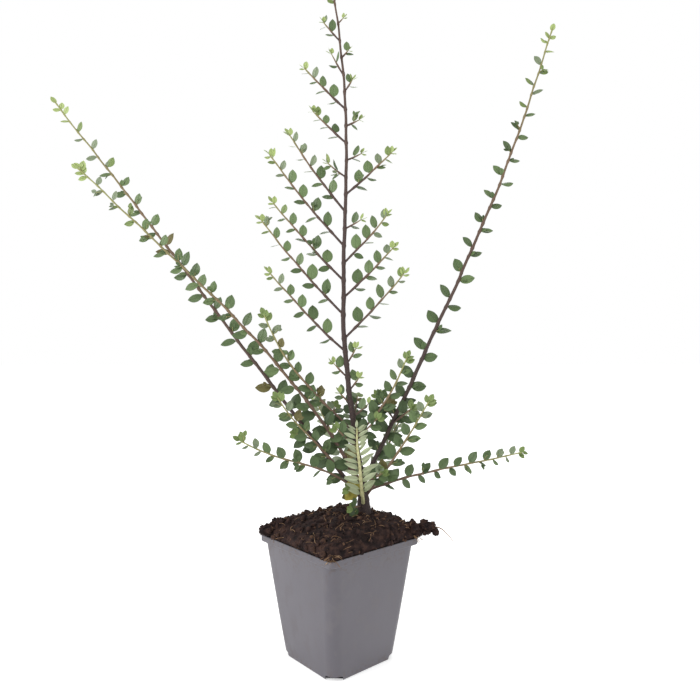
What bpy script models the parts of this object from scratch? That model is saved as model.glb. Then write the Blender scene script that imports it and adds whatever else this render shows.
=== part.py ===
"""A young cotoneaster in a square nursery pot, as separate named solids.

Frame: metres, +Z up, +X to the right of the plant's broad side, -Y towards the
viewer of that side. The origin is the middle of the pot's flat underside.
A short stump stands in the peat. The central stem, three boughs and several leafy
shoots rise from it, and the central stem carries two rows of leafy side shoots.
"""

import math
import random
from collections import namedtuple

import bmesh
import bpy
from mathutils import Matrix, Vector, noise
from mathutils.bvhtree import BVHTree

# Pot: a tapered square with rounded upright corners and a lip
GAP = 0.0003
POT_HEIGHT = 0.095
POT_TURN = math.radians(39.5)
POT_BASE_HALF = 0.0324
POT_WALL_TOP_HALF = 0.0435
POT_CORNER = 0.0095
POT_WALL = 0.0012
POT_FLOOR = 0.0015
LIP_HALF = 0.0450
LIP_CORNER = 0.0035
LIP_HEIGHT = 0.0050
CORNER_STEPS = 5
DRAIN_WIDTH = 0.0130
DRAIN_HEIGHT = 0.0038
DRAIN_REACH = 0.0365

# Peat: fills the pot and is heaped over the rim
PEAT_TOP = 0.1117
PEAT_EDGE_HALF = 0.0440
PEAT_FLAT_HALF = 0.0068
PEAT_LUMP = 0.0014
PEAT_LUMPS_COARSE = 55.0
PEAT_LUMPS_FINE = 130.0
# How far in from the rim to the stump, and how much of the rise is reached there
PEAT_HEAP = ((0.0, 0.0), (0.02, 0.30), (0.10, 0.55), (0.24, 0.74), (0.45, 0.88), (0.72, 0.96), (0.94, 1.0))

# Stump: the short foot of all the stems, cut flat where it meets the peat
STUMP_FOOT = Vector((0.0200, 0.0055, 0.1120))
STUMP_TOP = Vector((0.0195, 0.0060, 0.1386))
STUMP_FOOT_RADIUS = 0.0044
STUMP_TOP_RADIUS = 0.0031
STUMP_FLARE = 0.35
STUMP_RINGS = 4
STUMP_SWELL = 1.15

# Limbs: each runs from foot to tip with one bow and one S-shaped sway, and tapers
Limb = namedtuple("Limb", "foot tip bow sway foot_radius tip_radius")
CENTRAL = Limb((0.0190, 0.006, 0.1390), (-0.0070, 0.016, 0.5480), 0.0011, 0.0063, 0.0025, 0.0006)
RIGHT = Limb((0.0195, 0.007, 0.1340), (0.1800, 0.032, 0.5130), -0.0085, 0.0016, 0.0021, 0.0006)
LEFT_OUTER = Limb((0.0200, 0.006, 0.1210), (-0.2370, 0.035, 0.4490), 0.0003, 0.0012, 0.0020, 0.0006)
LEFT_INNER = Limb((0.0195, 0.004, 0.1330), (-0.1930, -0.030, 0.3770), -0.0133, -0.0021, 0.0018, 0.0006)
RIGHT_LEAFY_FROM = 0.20
LEFT_OUTER_LEAFY_FROM = 0.27
LEFT_INNER_LEAFY_FROM = 0.22
CENTRAL_LEAFY_FROM = 0.925
LIMB_SIDES = 8
LIMB_PIECES = 14

# Leafy shoots: leaves stand in two rows, in near pairs, on a three-sided twig
Shoot = namedtuple("Shoot", "name limb start pitch leaf spread companions bare forward")
TWIG_SIDES = 3
TWIG_PIECE = 0.025
PAIR_LAG = 0.28
LEAF_SLIMNESS = 0.64
LEAF_THICKNESS = 0.0007
LEAF_WIDEST = 0.50
LEAF_CREST = 0.40
LEAF_FORWARD = 0.35
LEAF_FORWARD_LOW = 1.3
LEAF_TILT = math.radians(7)
# A twig that ends further back than this turns its leaves' upper sides to the back
BACKWARD_REACH = 0.04
LEAF_SIZES = (0.88, 1.08)
# Towards the tip the leaves get smaller and closer, and three small ones end the twig
TIPWARD_SHRINK = 0.45
TIPWARD_SHRINK_POWER = 2.2
TIPWARD_CLOSING = 0.32
LAST_PAIR_GAP = 0.0030
LAST_LEAF_ALONG = 0.985
TIP_LEAF_ALONG = 0.992
TIP_PAIR_ALONG = 0.975
TIP_PAIR_SPREAD = 0.8
TIP_LEAF_SHARE = 0.52
COMPANION_SHARE = 0.58
COMPANION_SPREAD = math.radians(22)
ROW_SPREAD = math.radians(46)
STEM_SPREAD = math.radians(57)

# Side shoots of the central stem: they leave it to the left and right by turns
# The lower ones stand closer, and one long gap parts them from the upper ones
NODE_FIRST = 0.1886
LOW_NODES = 7
LOW_NODE_STEP = 0.0106
NODE_GAP = 0.0188
HIGH_NODE_STEP = 0.0138
# Length, and lean from upright in degrees, from the lowest up
LEFT_SIDE_SHOOTS = (
    (0.012, 45), (0.016, 45), (0.088, 44), (0.101, 41), (0.086, 42), (0.093, 40),
    (0.079, 36), (0.018, 56), (0.039, 46), (0.047, 45), (0.018, 32), (0.019, 45),
)
RIGHT_SIDE_SHOOTS = (
    (0.017, 50), (0.013, 38), (0.015, 30), (0.070, 43), (0.057, 45), (0.051, 43), (0.015, 62),
    (0.051, 47), (0.014, 64), (0.012, 64), (0.011, 34), (0.008, 42), (0.006, 46),
)
SIDE_DEPTH_TURN = math.radians(14)
SIDE_BOW_SHARE = 0.015
SIDE_FOOT_RADIUS = 0.0010
SIDE_TIP_RADIUS = 0.00045
SIDE_PITCH_LEAST = 0.0085
SIDE_PITCH_SHARE = 0.085
SIDE_BARE_SHARE = 0.11
SIDE_LEAF = 0.0128
# A short side shoot is thinner and its leaves smaller, and leaves are smaller higher up
SIDE_STOUT_LEAST = 0.4
SIDE_STOUT_LENGTH = 0.10
SIDE_LEAF_LEAST = 0.82
SIDE_LEAF_LENGTH = 0.06
SIDE_LEAF_UPWARD_SHRINK = 0.30

# Short leafy twigs near the foot: parent (None is the stump), place along it, turn
# about the upright from +X and lean from upright in degrees, and length
SPURS = (
    (None, 0.60, 238, 74, 0.024),
    (None, 0.42, 225, 55, 0.020),
    (None, 0.20, 235, 82, 0.016),
    (None, 0.82, 318, 58, 0.022),
    (LEFT_OUTER, 0.15, 215, 70, 0.018),
    (CENTRAL, 0.060, 215, 50, 0.026),
    (CENTRAL, 0.075, 330, 45, 0.026),
    (LEFT_INNER, 0.17, 60, 40, 0.020),
    (RIGHT, 0.14, 160, 35, 0.022),
    (RIGHT, 0.13, 335, 52, 0.021),
    (CENTRAL, 0.055, 100, 45, 0.040),
    (CENTRAL, 0.110, 80, 50, 0.030),
)


def clear_scene():
    for obj in list(bpy.data.objects):
        bpy.data.objects.remove(obj, do_unlink=True)


def material(name, colour, roughness, metallic=0.0):
    made = bpy.data.materials.new(name)
    made.use_nodes = True
    surface = made.node_tree.nodes["Principled BSDF"]
    surface.inputs["Base Color"].default_value = (*colour, 1.0)
    surface.inputs["Roughness"].default_value = roughness
    surface.inputs["Metallic"].default_value = metallic
    return made


def add_object(name, bm, surface=None, smooth=False):
    mesh = bpy.data.meshes.new(name)
    bm.to_mesh(mesh)
    bm.free()
    if surface:
        mesh.materials.append(surface)
    if smooth:
        mesh.shade_smooth()
        mesh.set_sharp_from_angle(angle=math.radians(40))
    made = bpy.data.objects.new(name, mesh)
    bpy.context.scene.collection.objects.link(made)
    return made


# Curves of the limbs

def across(limb):
    """The direction in the plant's broad plane that a bow moves a limb to."""
    chord = Vector(limb.tip) - Vector(limb.foot)
    return chord.cross(Vector((0, 1, 0))).normalized()


def point_at(limb, along):
    foot = Vector(limb.foot)
    chord = Vector(limb.tip) - foot
    offset = limb.bow * 4 * along * (1 - along) + limb.sway * math.sin(2 * math.pi * along)
    return foot + chord * along + across(limb) * offset


def direction_at(limb, along):
    step = 0.01
    return (point_at(limb, along + step) - point_at(limb, along - step)).normalized()


def radius_at(limb, along):
    return limb.foot_radius + (limb.tip_radius - limb.foot_radius) * along


def length_of(limb):
    return (Vector(limb.tip) - Vector(limb.foot)).length


def clear_start(limb, parent_direction, parent_radius):
    """How far along a limb its end cap first stands clear of the limb it grows from."""
    slope = direction_at(limb, 0.02)
    cosine = abs(slope.dot(parent_direction))
    sine = math.sqrt(max(1 - cosine * cosine, 0.04))
    reach = (parent_radius + 3 * GAP + limb.foot_radius * cosine) / sine
    return reach / length_of(limb)


# Solid shapes

def level_ring(centre, radius):
    ring = []
    for i in range(LIMB_SIDES):
        angle = 2 * math.pi * i / LIMB_SIDES
        ring.append(centre + Vector((math.cos(angle), math.sin(angle), 0)) * radius)
    return ring


def skin_rings(bm, rings):
    """A closed skin over rings of equal count, listed from the bottom up."""
    rows = [[bm.verts.new(point) for point in ring] for ring in rings]
    count = len(rows[0])
    for lower, upper in zip(rows, rows[1:]):
        for i in range(count):
            j = (i + 1) % count
            bm.faces.new((lower[i], lower[j], upper[j], upper[i]))
    bm.faces.new(reversed(rows[0]))
    bm.faces.new(rows[-1])


def tube_rings(limb, start, end, sides, pieces):
    """Rings along a limb, each turned as little as possible from the one before."""
    rings = []
    heading = direction_at(limb, start)
    facing = heading.to_track_quat("Z", "Y")
    for i in range(pieces + 1):
        along = start + (end - start) * i / pieces
        ahead = direction_at(limb, along)
        facing = heading.rotation_difference(ahead) @ facing
        heading = ahead
        centre = point_at(limb, along)
        radius = radius_at(limb, along)
        ring = []
        for j in range(sides):
            angle = 2 * math.pi * j / sides
            spoke = Vector((math.cos(angle), math.sin(angle), 0))
            ring.append(centre + facing @ spoke * radius)
        rings.append(ring)
    return rings


def square_ring(half, corner, height, middle=(0.0, 0.0)):
    """A square with rounded corners, turned with the pot."""
    ring = []
    turned = Matrix.Rotation(POT_TURN, 3, "Z")
    for quarter in range(4):
        facing = Matrix.Rotation(quarter * math.pi / 2, 3, "Z")
        for i in range(CORNER_STEPS + 1):
            angle = math.pi / 2 * i / CORNER_STEPS
            spot = Vector((half - corner, half - corner, 0))
            spot += Vector((math.cos(angle), math.sin(angle), 0)) * corner
            spot = turned @ (facing @ spot)
            ring.append(spot + Vector((middle[0], middle[1], height)))
    return ring


def wall_half(height):
    share = height / (POT_HEIGHT - LIP_HEIGHT)
    return POT_BASE_HALF + (POT_WALL_TOP_HALF - POT_BASE_HALF) * share


def make_pot(surface):
    under_lip = POT_HEIGHT - LIP_HEIGHT
    inner_corner = POT_CORNER - POT_WALL
    rings = [
        square_ring(POT_BASE_HALF, POT_CORNER, 0.0),
        square_ring(POT_WALL_TOP_HALF, POT_CORNER, under_lip),
        square_ring(LIP_HALF, LIP_CORNER, under_lip),
        square_ring(LIP_HALF, LIP_CORNER, POT_HEIGHT),
        square_ring(wall_half(POT_HEIGHT) - POT_WALL, inner_corner, POT_HEIGHT),
        square_ring(wall_half(POT_FLOOR) - POT_WALL, inner_corner, POT_FLOOR),
    ]
    bm = bmesh.new()
    skin_rings(bm, rings)
    bmesh.ops.recalc_face_normals(bm, faces=bm.faces)
    pot = add_object("pot", bm, surface, smooth=True)
    cut = pot.modifiers.new("Drains", "BOOLEAN")
    cut.object = make_drain_cutter()
    return pot


def make_drain_cutter():
    """One block at each lower corner, through the wall and the floor's corner."""
    bm = bmesh.new()
    depth = 2 * POT_CORNER
    for quarter in range(4):
        turn = Matrix.Rotation(POT_TURN + math.pi / 4 + quarter * math.pi / 2, 4, "Z")
        place = Matrix.Translation((DRAIN_REACH + depth / 2, 0, 0))
        size = Matrix.Diagonal((depth, DRAIN_WIDTH, 2 * DRAIN_HEIGHT, 1))
        bmesh.ops.create_cube(bm, size=1.0, matrix=turn @ place @ size)
    cutter = add_object("drain_cutter", bm)
    cutter.hide_render = True
    cutter.display_type = "WIRE"
    return cutter


def peat_lump(point):
    fine = noise.noise(point * PEAT_LUMPS_FINE)
    coarse = noise.noise(point * PEAT_LUMPS_COARSE)
    return (fine + coarse) * PEAT_LUMP


def make_peat(surface):
    """The plug inside the pot, then a heap that closes on a flat place under the stump."""
    floor = POT_FLOOR + GAP
    over_rim = POT_HEIGHT + GAP
    inset = POT_WALL + GAP
    plug_corner = POT_CORNER - inset
    rings = [
        square_ring(wall_half(floor) - inset, plug_corner, floor),
        square_ring(wall_half(POT_HEIGHT) - inset, plug_corner, over_rim),
    ]
    for inward, rise in PEAT_HEAP:
        half = PEAT_EDGE_HALF * (1 - inward) + PEAT_FLAT_HALF * inward
        corner = LIP_CORNER + (half - LIP_CORNER) * inward
        height = over_rim + (PEAT_TOP - over_rim) * rise
        middle = (STUMP_FOOT.x * inward, STUMP_FOOT.y * inward)
        ring = square_ring(half, corner, height, middle)
        if 0.0 < inward < 0.9:
            ring = [spot + Vector((0, 0, peat_lump(spot))) for spot in ring]
        rings.append(ring)
    bm = bmesh.new()
    skin_rings(bm, rings)
    bmesh.ops.recalc_face_normals(bm, faces=bm.faces)
    return add_object("peat", bm, surface)


def stump_radius(along):
    flare = 1 + STUMP_FLARE * (1 - along) ** 2
    return (STUMP_FOOT_RADIUS * (1 - along) + STUMP_TOP_RADIUS * along) * flare


def make_stump(surface):
    """Level rings, widest at the flat cut on the peat."""
    rings = []
    for i in range(STUMP_RINGS + 1):
        along = i / STUMP_RINGS
        rings.append(level_ring(STUMP_FOOT.lerp(STUMP_TOP, along), stump_radius(along)))
    bm = bmesh.new()
    skin_rings(bm, rings)
    return add_object("stump", bm, surface, smooth=True)


def make_limb(name, limb, start, end, surface):
    bm = bmesh.new()
    skin_rings(bm, tube_rings(limb, start, end, LIMB_SIDES, LIMB_PIECES))
    return add_object(name, bm, surface, smooth=True)


# Leaves by rule

Leaf = namedtuple("Leaf", "root heading normal length")


def blade_normal(heading, faces_up):
    across_heading = faces_up - heading * faces_up.dot(heading)
    return across_heading.normalized()


def row_side(limb, ahead):
    """Across the twig, away from the plant's middle line."""
    side = ahead.cross(Vector((0, 1, 0))).normalized()
    leans_right = limb.tip[0] > limb.foot[0]
    return -side if leans_right else side


def leaves_of(shoot, rng):
    """Near pairs of leaves along the twig, smaller towards its tip, then three at the tip."""
    limb = shoot.limb
    length = length_of(limb)
    found = []
    travelled = shoot.start * length + shoot.bare
    while travelled < length - LAST_PAIR_GAP:
        along = travelled / length
        size = shoot.leaf * (1 - TIPWARD_SHRINK * along ** TIPWARD_SHRINK_POWER)
        for row, lag in ((1, 0.0), (-1, PAIR_LAG)):
            spot = along + lag * shoot.pitch / length
            lean = shoot.spread + rng.uniform(-LEAF_TILT, LEAF_TILT)
            out_of_plane = rng.uniform(-LEAF_TILT, LEAF_TILT)
            scale = rng.uniform(*LEAF_SIZES)
            companion = rng.random() < shoot.companions
            if spot > LAST_LEAF_ALONG:
                continue
            ahead = direction_at(limb, spot)
            side = row_side(limb, ahead) * row
            found.append(leaf_from(limb, spot, ahead, side, lean, out_of_plane, size * scale, shoot.forward))
            if companion:
                small = size * scale * COMPANION_SHARE
                inner = lean - COMPANION_SPREAD
                found.append(leaf_from(limb, spot, ahead, side, inner, -3 * out_of_plane, small, shoot.forward))
        travelled += shoot.pitch * (1 - TIPWARD_CLOSING * along)
    ahead = direction_at(limb, TIP_PAIR_ALONG)
    side = row_side(limb, ahead)
    tip_size = shoot.leaf * TIP_LEAF_SHARE
    found.append(leaf_from(limb, TIP_LEAF_ALONG, ahead, side, 0.0, 0.0, tip_size, shoot.forward))
    for row in (1, -1):
        lean = ROW_SPREAD * TIP_PAIR_SPREAD + rng.uniform(-LEAF_TILT, LEAF_TILT)
        out_of_plane = rng.uniform(-LEAF_TILT, LEAF_TILT)
        found.append(leaf_from(limb, TIP_PAIR_ALONG, ahead, side * row, lean, out_of_plane, tip_size, shoot.forward))
    return found


def leaf_from(limb, along, ahead, side, lean, out_of_plane, length, forward):
    heading = ahead * math.cos(lean) + side * math.sin(lean)
    heading = heading + ahead.cross(side) * math.sin(out_of_plane)
    heading.normalize()
    goes_back = limb.tip[1] - limb.foot[1] > BACKWARD_REACH
    faces_up = Vector((0, forward if goes_back else -forward, 1))
    return Leaf(point_at(limb, along), heading, blade_normal(heading, faces_up), length)


def leaf_points(leaf, grown=0.0):
    """Five corners: root, left, tip, right, then the raised middle of the upper side."""
    side = leaf.heading.cross(leaf.normal)
    half = leaf.length * LEAF_SLIMNESS / 2 + grown
    middle = leaf.root + leaf.heading * (leaf.length * LEAF_WIDEST)
    crest = leaf.root + leaf.heading * (leaf.length * LEAF_CREST)
    return [
        leaf.root,
        middle + side * half,
        leaf.root + leaf.heading * (leaf.length + grown),
        middle - side * half,
        crest + leaf.normal * (LEAF_THICKNESS + grown),
    ]


LEAF_TRIANGLES = ((0, 1, 4), (1, 2, 4), (2, 3, 4), (3, 0, 4), (1, 0, 3), (2, 1, 3))


def leaf_tree(leaf):
    """The leaf a gap larger all round, for finding what it would touch."""
    points = leaf_points(leaf, GAP)
    below = [point - leaf.normal * (2 * GAP) for point in points]
    triangles = list(LEAF_TRIANGLES)
    triangles += [tuple(i + len(points) for i in triangle) for triangle in LEAF_TRIANGLES]
    return BVHTree.FromPolygons(points + below, triangles)


def leaf_object(leaf, name):
    bm = bmesh.new()
    corners = [bm.verts.new(point) for point in leaf_points(leaf)]
    for triangle in LEAF_TRIANGLES:
        bm.faces.new([corners[i] for i in triangle])
    bmesh.ops.recalc_face_normals(bm, faces=bm.faces)
    return add_object(name, bm)


def tree_of(obj):
    graph = bpy.context.evaluated_depsgraph_get()
    return BVHTree.FromObject(obj, graph)


# Masses: twig and leaves joined into one closed solid

def keep_largest_shell(obj):
    """Fills a hollow that joining sealed, and drops a loose scrap."""
    bm = bmesh.new()
    bm.from_mesh(obj.data)
    left = set(bm.verts)
    shells = []
    while left:
        shell = set()
        queue = [next(iter(left))]
        while queue:
            vert = queue.pop()
            if vert in shell:
                continue
            shell.add(vert)
            queue.extend(edge.other_vert(vert) for edge in vert.link_edges)
        shells.append(shell)
        left -= shell
    largest = max(shells, key=len)
    extra = [vert for vert in bm.verts if vert not in largest]
    bmesh.ops.delete(bm, geom=extra, context="VERTS")
    bm.to_mesh(obj.data)
    bm.free()


def union_on(obj, pieces):
    """One Boolean union of the pieces with obj, applied. The pieces are then removed."""
    group = bpy.data.collections.new("pieces")
    bpy.context.scene.collection.children.link(group)
    for piece in pieces:
        bpy.context.scene.collection.objects.unlink(piece)
        group.objects.link(piece)
    join = obj.modifiers.new("Join", "BOOLEAN")
    join.operation = "UNION"
    join.operand_type = "COLLECTION"
    join.collection = group
    graph = bpy.context.evaluated_depsgraph_get()
    joined = bpy.data.meshes.new_from_object(obj.evaluated_get(graph))
    obj.modifiers.remove(join)
    obj.data = joined
    for piece in pieces:
        bpy.data.objects.remove(piece, do_unlink=True)
    bpy.data.collections.remove(group)


def twig_rings(shoot, grown=0.0):
    length = length_of(shoot.limb) * (1 - shoot.start)
    pieces = max(2, round(length / TWIG_PIECE))
    wider = shoot.limb._replace(
        foot_radius=shoot.limb.foot_radius + grown, tip_radius=shoot.limb.tip_radius + grown
    )
    return tube_rings(wider, shoot.start, 1.0, TWIG_SIDES, pieces)


def twig_tree(shoot):
    """The twig two gaps wider, for finding what it would touch."""
    bm = bmesh.new()
    skin_rings(bm, twig_rings(shoot, 2 * GAP))
    tree = BVHTree.FromBMesh(bm)
    bm.free()
    return tree


def grow_twigs(shoots, surface, limbs):
    """A twig for each shoot that touches no limb and no twig made before it."""
    kept = []
    twigs = []
    obstacles = [tree_of(obj) for obj in limbs]
    for shoot in shoots:
        wider = twig_tree(shoot)
        if any(wider.overlap(tree) for tree in obstacles):
            continue
        bm = bmesh.new()
        skin_rings(bm, twig_rings(shoot))
        twig = add_object(shoot.name, bm, surface)
        kept.append(shoot)
        twigs.append(twig)
        obstacles.append(tree_of(twig))
    return kept, twigs


def in_space(leaf, shoot):
    """A mass keeps above the peat, and a side shoot keeps to its own side of the stem."""
    points = leaf_points(leaf)
    if min(point.z for point in points) < PEAT_TOP + GAP:
        return False
    foot_x = shoot.limb.foot[0]
    side = 1 if shoot.limb.tip[0] > foot_x else -1
    return not shoot.name.startswith("side_shoot") or (points[2].x - foot_x) * side > 0


def add_leaves(twig, shoot, obstacles):
    """Fuses on each leaf that touches nothing outside its own mass."""
    rng = random.Random(shoot.name)
    pieces = []
    for leaf in leaves_of(shoot, rng):
        grown = leaf_tree(leaf)
        if not in_space(leaf, shoot) or any(grown.overlap(tree) for tree in obstacles):
            continue
        pieces.append(leaf_object(leaf, "leaf"))
    union_on(twig, pieces)
    keep_largest_shell(twig)


# Shoots by rule

def central_nodes():
    """Heights on the central stem where a side shoot leaves it, lowest first."""
    heights = []
    height = NODE_FIRST
    for i in range(len(LEFT_SIDE_SHOOTS) + len(RIGHT_SIDE_SHOOTS)):
        heights.append(height)
        if i < LOW_NODES - 1:
            height += LOW_NODE_STEP
        elif i == LOW_NODES - 1:
            height += NODE_GAP
        else:
            height += HIGH_NODE_STEP
    return heights


def side_shoot(name, height, length, lean, side, depth):
    along = (height - CENTRAL.foot[2]) / (CENTRAL.tip[2] - CENTRAL.foot[2])
    foot = point_at(CENTRAL, along)
    outward = Vector((side * math.cos(depth), math.sin(depth), 0))
    reach = outward * math.sin(lean) + Vector((0, 0, math.cos(lean)))
    bow = -side * SIDE_BOW_SHARE * length
    stoutness = min(1.0, SIDE_STOUT_LEAST + length / SIDE_STOUT_LENGTH)
    foot_radius = SIDE_TIP_RADIUS + (SIDE_FOOT_RADIUS - SIDE_TIP_RADIUS) * stoutness
    limb = Limb(tuple(foot), tuple(foot + reach * length), bow, 0.0, foot_radius, SIDE_TIP_RADIUS)
    start = clear_start(limb, direction_at(CENTRAL, along), radius_at(CENTRAL, along))
    pitch = SIDE_PITCH_LEAST + SIDE_PITCH_SHARE * length
    leaf = SIDE_LEAF * (SIDE_LEAF_LEAST + (1 - SIDE_LEAF_LEAST) * min(1.0, length / SIDE_LEAF_LENGTH))
    leaf *= 1.0 - SIDE_LEAF_UPWARD_SHRINK * along ** 3
    return Shoot(name, limb, start, pitch, leaf, ROW_SPREAD, 0.0, SIDE_BARE_SHARE * length, LEAF_FORWARD)


def side_shoots():
    rng = random.Random(11)
    found = []
    for i, height in enumerate(central_nodes()):
        side, rows, word = (1, RIGHT_SIDE_SHOOTS, "right") if i % 2 == 0 else (-1, LEFT_SIDE_SHOOTS, "left")
        length, lean = rows[i // 2]
        depth = rng.uniform(-SIDE_DEPTH_TURN, SIDE_DEPTH_TURN)
        name = f"side_shoot_{word}_{i // 2 + 1:02d}"
        found.append(side_shoot(name, height, length, math.radians(lean), side, depth))
    return found


def branch(name, parent, along, tip, bow, sway, foot_radius, pitch, leaf, companions, bare):
    """A leafy shoot that leaves a limb, or the stump where parent is None."""
    if parent is None:
        foot = STUMP_FOOT.lerp(STUMP_TOP, along)
        direction = (STUMP_TOP - STUMP_FOOT).normalized()
        radius = stump_radius(along)
    else:
        foot = point_at(parent, along)
        direction = direction_at(parent, along)
        radius = radius_at(parent, along)
    limb = Limb(tuple(foot), tip, bow, sway, foot_radius, SIDE_TIP_RADIUS)
    start = clear_start(limb, direction, radius)
    return Shoot(name, limb, start, pitch, leaf, ROW_SPREAD, companions, bare, LEAF_FORWARD_LOW)


def low_shoots():
    return [
        branch("short_shoot_left", CENTRAL, 0.09, (-0.057, -0.020, 0.270), 0.0068, -0.001,
               0.0011, 0.0150, 0.0115, 0.2, 0.030),
        branch("third_shoot_left", LEFT_OUTER, 0.06, (-0.046, -0.026, 0.207), 0.0004, -0.0012,
               0.0010, 0.0140, 0.0120, 0.3, 0.016),
        branch("low_shoot_left", None, 0.45, (-0.076, -0.018, 0.174), -0.0043, -0.0030,
               0.0009, 0.0150, 0.0125, 0.2, 0.020),
        branch("low_shoot_right", None, 0.60, (0.150, 0.010, 0.159), 0.0029, 0.0011,
               0.0010, 0.0150, 0.0120, 0.5, 0.012),
        branch("lower_shoot_right", None, 0.40, (0.070, -0.015, 0.203), -0.0015, -0.0003,
               0.0011, 0.0140, 0.0130, 0.2, 0.014),
        branch("upper_shoot_right", CENTRAL, 0.085, (0.053, -0.009, 0.237), -0.0049, -0.0004,
               0.0010, 0.0130, 0.0120, 0.3, 0.014),
        branch("front_shoot", None, 0.18, (0.012, -0.066, 0.190), 0.0008, -0.0003,
               0.0016, 0.0100, 0.0135, 0.0, 0.008),
        branch("back_shoot_left", None, 0.50, (-0.022, 0.088, 0.196), 0.0, 0.0,
               0.0014, 0.0110, 0.0130, 0.2, 0.010),
        branch("back_shoot_right", None, 0.30, (0.062, 0.080, 0.190), 0.0, 0.0,
               0.0014, 0.0110, 0.0130, 0.2, 0.010),
    ]


def spurs():
    """Short leafy twigs round the foot of the plant."""
    found = []
    for i, (parent, along, turn, lean, length) in enumerate(SPURS):
        foot = point_at(parent, along) if parent else STUMP_FOOT.lerp(STUMP_TOP, along)
        turn = math.radians(turn)
        lean = math.radians(lean)
        flat = Vector((math.cos(turn), math.sin(turn), 0))
        tip = foot + flat * (math.sin(lean) * length) + Vector((0, 0, math.cos(lean) * length))
        name = f"spur_{i + 1:02d}"
        found.append(branch(name, parent, along, tuple(tip), 0.0, 0.0, 0.0008, 0.0095, 0.0125, 0.3, 0.003))
    return found


def leafy_end(name, limb, start, pitch, leaf, companions):
    gap = GAP / length_of(limb)
    return Shoot(name, limb, start + gap, pitch, leaf, STEM_SPREAD, companions, 0.004, LEAF_FORWARD_LOW)


def main():
    clear_scene()
    plastic = material("pot_plastic", (0.19, 0.18, 0.20), 0.55)
    peat = material("peat", (0.035, 0.020, 0.014), 0.95)
    bark = material("bark", (0.070, 0.040, 0.038), 0.75)
    foliage = material("foliage", (0.055, 0.120, 0.035), 0.60)

    solids = [make_pot(plastic), make_peat(peat), make_stump(bark)]
    up = (STUMP_TOP - STUMP_FOOT).normalized()
    solids.append(make_limb("stem_central", CENTRAL, 0.0, CENTRAL_LEAFY_FROM, bark))
    boughs = (
        ("bough_right", RIGHT, RIGHT_LEAFY_FROM),
        ("bough_left_outer", LEFT_OUTER, LEFT_OUTER_LEAFY_FROM),
        ("bough_left_inner", LEFT_INNER, LEFT_INNER_LEAFY_FROM),
    )
    for name, limb, leafy_from in boughs:
        start = clear_start(limb, up, STUMP_TOP_RADIUS * STUMP_SWELL)
        solids.append(make_limb(name, limb, start, leafy_from, bark))

    shoots = [
        leafy_end("leafy_stem_right", RIGHT, RIGHT_LEAFY_FROM, 0.0265, 0.0130, 0.6),
        leafy_end("leafy_stem_left_outer", LEFT_OUTER, LEFT_OUTER_LEAFY_FROM, 0.0265, 0.0135, 0.6),
        leafy_end("leafy_stem_left_inner", LEFT_INNER, LEFT_INNER_LEAFY_FROM, 0.0210, 0.0125, 0.6),
        leafy_end("leafy_tip_central", CENTRAL, CENTRAL_LEAFY_FROM, 0.0110, 0.0120, 0.0),
    ]
    shoots += side_shoots()
    shoots += low_shoots()
    shoots += spurs()

    shoots, twigs = grow_twigs(shoots, foliage, solids)
    for i, shoot in enumerate(shoots):
        neighbours = solids + twigs[:i] + twigs[i + 1:]
        obstacles = [tree_of(obj) for obj in neighbours]
        add_leaves(twigs[i], shoot, obstacles)


main()
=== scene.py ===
"""A young cotoneaster in a square nursery pot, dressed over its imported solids.

Metres, +Z up, the origin in the middle of the pot's flat underside, and -Y towards
the viewer of the plant's broad side. Limbs, shoots and leaves grow by the same rule
and the same named sizes as the solids, and are carried on to finer twigs.
"""

import math
import random
from collections import namedtuple

import bmesh
import bpy
import numpy as np
from mathutils import Matrix, Vector, noise
from mathutils.bvhtree import BVHTree


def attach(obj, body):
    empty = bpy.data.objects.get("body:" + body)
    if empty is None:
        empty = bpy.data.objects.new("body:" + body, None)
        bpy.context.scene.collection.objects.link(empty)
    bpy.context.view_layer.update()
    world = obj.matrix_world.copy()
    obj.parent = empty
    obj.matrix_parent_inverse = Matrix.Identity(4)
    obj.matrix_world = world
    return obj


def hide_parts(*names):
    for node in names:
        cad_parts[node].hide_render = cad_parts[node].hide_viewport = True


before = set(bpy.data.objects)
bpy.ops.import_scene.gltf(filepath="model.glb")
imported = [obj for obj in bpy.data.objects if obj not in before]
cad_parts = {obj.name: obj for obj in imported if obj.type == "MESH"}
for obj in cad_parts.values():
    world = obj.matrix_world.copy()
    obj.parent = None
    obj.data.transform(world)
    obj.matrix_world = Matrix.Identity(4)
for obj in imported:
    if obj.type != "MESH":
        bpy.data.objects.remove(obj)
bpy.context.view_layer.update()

# Vectors of noise follow the clock until a seed is set
NOISE_SEED = 7
noise.seed_set(NOISE_SEED)

# Pot: a tapered square with rounded upright corners and a lip
GAP = 0.0003
POT_HEIGHT = 0.095
POT_TURN = math.radians(39.5)
POT_BASE_HALF = 0.0324
POT_WALL_TOP_HALF = 0.0435
POT_CORNER = 0.0095
POT_WALL = 0.0012
POT_FLOOR = 0.0015
POT_EDGE = 0.0005
POT_FOOT_EDGE = 0.0012
# Where the middle ring of a rounded edge stands, as a share of the rounding
FOOT_EDGE_MIDDLE = 0.3
UNDER_LIP_MIDDLE = 0.4
LIP_EDGE_MIDDLE = 0.6
# The wall swells a little between foot and lip
WALL_SWELL = 0.0002
WALL_SWELL_HEIGHTS = (0.030, 0.060)
POT_SHARP_ANGLE = 32
LIP_HALF = 0.0450
LIP_CORNER = 0.0035
LIP_HEIGHT = 0.0050
CORNER_STEPS = 8
DRAIN_WIDTH = 0.0130
DRAIN_HEIGHT = 0.0038
DRAIN_REACH = 0.0365
DRAIN_ROUNDING = 0.0012
DRAIN_ROUNDING_STEPS = 3

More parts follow.
